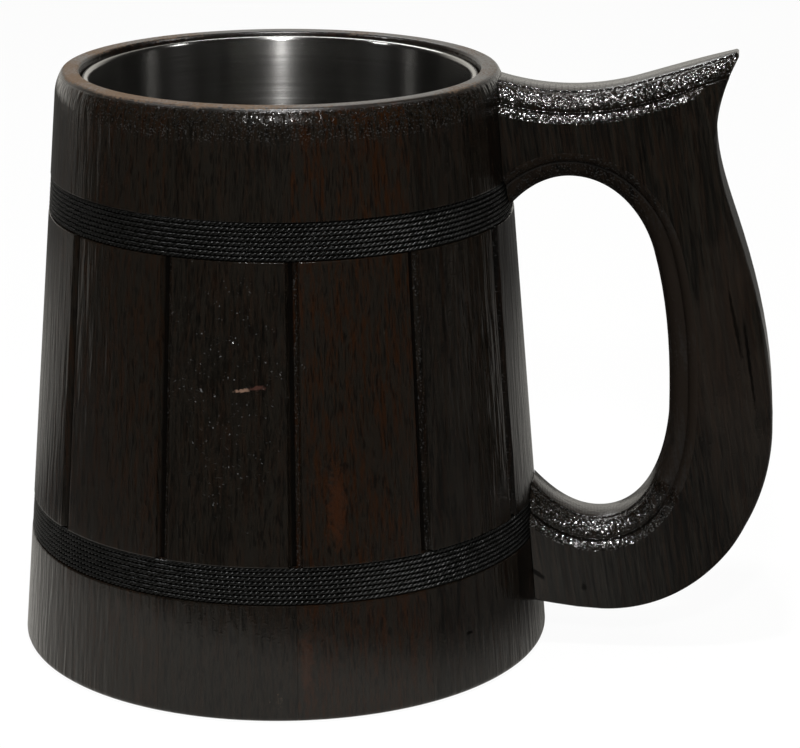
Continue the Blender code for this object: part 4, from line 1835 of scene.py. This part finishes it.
@dataclass
class Studio:
    """Camera, lamps, floor and surroundings.

    Attributes:
        eye: Place of the camera.
        tilt: Rotation of the camera, in degrees.
        lens: Focal length in millimetres.
        sensor: Width of the sensor in millimetres.
        target: What the lamps face.
        lamps: The lamps.
        sheet: Half of the floor's width and depth.
        sheet_middle: Middle of the floor, a little below the mug's base.
        room_tint: Colour of the light from the room.
        room: How bright the room is in a mirror.
        backdrop: How much brighter the backdrop is there.
        backdrop_turn: Angle from the camera's axis to the backdrop's middle.
        ambient: How brightly the room lights dull surfaces.
    """

    eye: Colour = (0.10431, -0.69793, 0.28063)
    tilt: Colour = (72.93, 0.03, 6.197)
    lens: float = 136.2
    sensor: float = 36.0
    target: Colour = (0.02, 0.0, 0.075)
    lamps: tuple[Lamp, ...] = (
        Lamp("flash", (0.09, -0.66, 0.50), 0.06, 0.53),
        Lamp("overhead", (0.03, -0.20, 0.82), 0.08, 0.80),
        Lamp("left_top", (-0.42, -0.10, 0.62), 0.10, 0.12),
        Lamp("right_top", (0.46, 0.02, 0.62), 0.10, 0.10),
        Lamp("back_top", (-0.15, 0.55, 0.62), 0.25, 0.15),
    )
    sheet: Point = (0.8, 0.6)
    sheet_middle: Colour = (0.0, 0.39, -0.0001)
    room_tint: Colour = (1.02, 0.985, 0.91)
    room: float = 0.029
    backdrop: float = 0.72
    backdrop_turn: float = math.radians(6)
    ambient: float = 0.30

    def build(self) -> None:
        """Set up the studio."""
        self.stand_camera()
        for lamp in self.lamps:
            lamp.hang(Vector(self.target))
        self.lay_floor()
        self.surround()
        bpy.context.scene.view_settings.view_transform = "Standard"

    def stand_camera(self) -> None:
        """Stand the camera at the photograph's viewpoint."""
        data = bpy.data.cameras.new("camera")
        data.lens = self.lens
        data.sensor_width = self.sensor
        data.clip_start = 0.01
        camera = bpy.data.objects.new("camera", data)
        camera.location = self.eye
        camera.rotation_euler = [math.radians(angle) for angle in self.tilt]
        bpy.context.scene.collection.objects.link(camera)
        bpy.context.scene.camera = camera

    def lay_floor(self) -> None:
        """Lay a sheet of pale paper under the mug."""
        bm = bmesh.new()
        bmesh.ops.create_grid(bm, x_segments=1, y_segments=1, size=1.0)
        bmesh.ops.scale(bm, vec=(*self.sheet, 1.0), verts=bm.verts)
        bmesh.ops.translate(bm, vec=self.sheet_middle, verts=bm.verts)
        floor = placed("floor", bm)
        floor.data.materials.append(Paper(tint=self.room_tint).make())

    def surround(self) -> None:
        """Set a white backdrop behind the mug, and a dim room on the camera's side."""
        world = bpy.data.worlds.new("surroundings")
        world.use_nodes = True
        bpy.context.scene.world = world
        graph = Graph(world.node_tree)
        direction = graph.add("ShaderNodeTexCoord").outputs["Generated"]
        axis = Vector((-self.eye[0], -self.eye[1], 0.0)).normalized()
        back = Matrix.Rotation(self.backdrop_turn, 3, "Z") @ axis
        sides = {0: direction, 1: back}
        facing = graph.number("ShaderNodeVectorMath", {"operation": "DOT_PRODUCT"}, sides, 1)
        low = 1.0 - graph.step(graph.split(direction)[2], 0.45, 0.85)
        mirrored = self.room + graph.step(facing, 0.46, 0.92) * low * self.backdrop
        camera, glossy = graph.rays(Ray.CAMERA), graph.rays(Ray.GLOSSY, Ray.THROUGH)
        level = camera + (1.0 - camera) * (glossy * mirrored + (1.0 - glossy) * self.ambient)
        colour = graph.layered(camera, self.room_tint, WHITE)
        light = graph.add("ShaderNodeBackground", inputs={"Color": colour, "Strength": level})
        graph.add("ShaderNodeOutputWorld", inputs={"Surface": light.outputs[0]})


def main() -> None:
    """Build the mug's sub-assemblies, report their pieces and set up the studio."""
    logging.basicConfig(level=logging.INFO, format="%(name)s: %(message)s")
    cone, cup = Cone(), Cup()
    bands = (Band("cord_upper", 0.10694), Band("cord_lower", 0.0278))
    staves, dowels, handle = Staves(cone, cup, bands), Dowels(cone), Handle(cone)

    thread = WaxedCord().make()
    pieces = staves.build(dowels) + cup.build() + [band.build(cone, thread) for band in bands]
    pieces += [handle.build(dowels, staves.rim_at(0.0)), *dowels.build()]
    for piece in pieces:
        LOG.info("%s: %d faces", piece.name, len(piece.data.polygons))
    Studio().build()


if __name__ == "__main__":
    main()
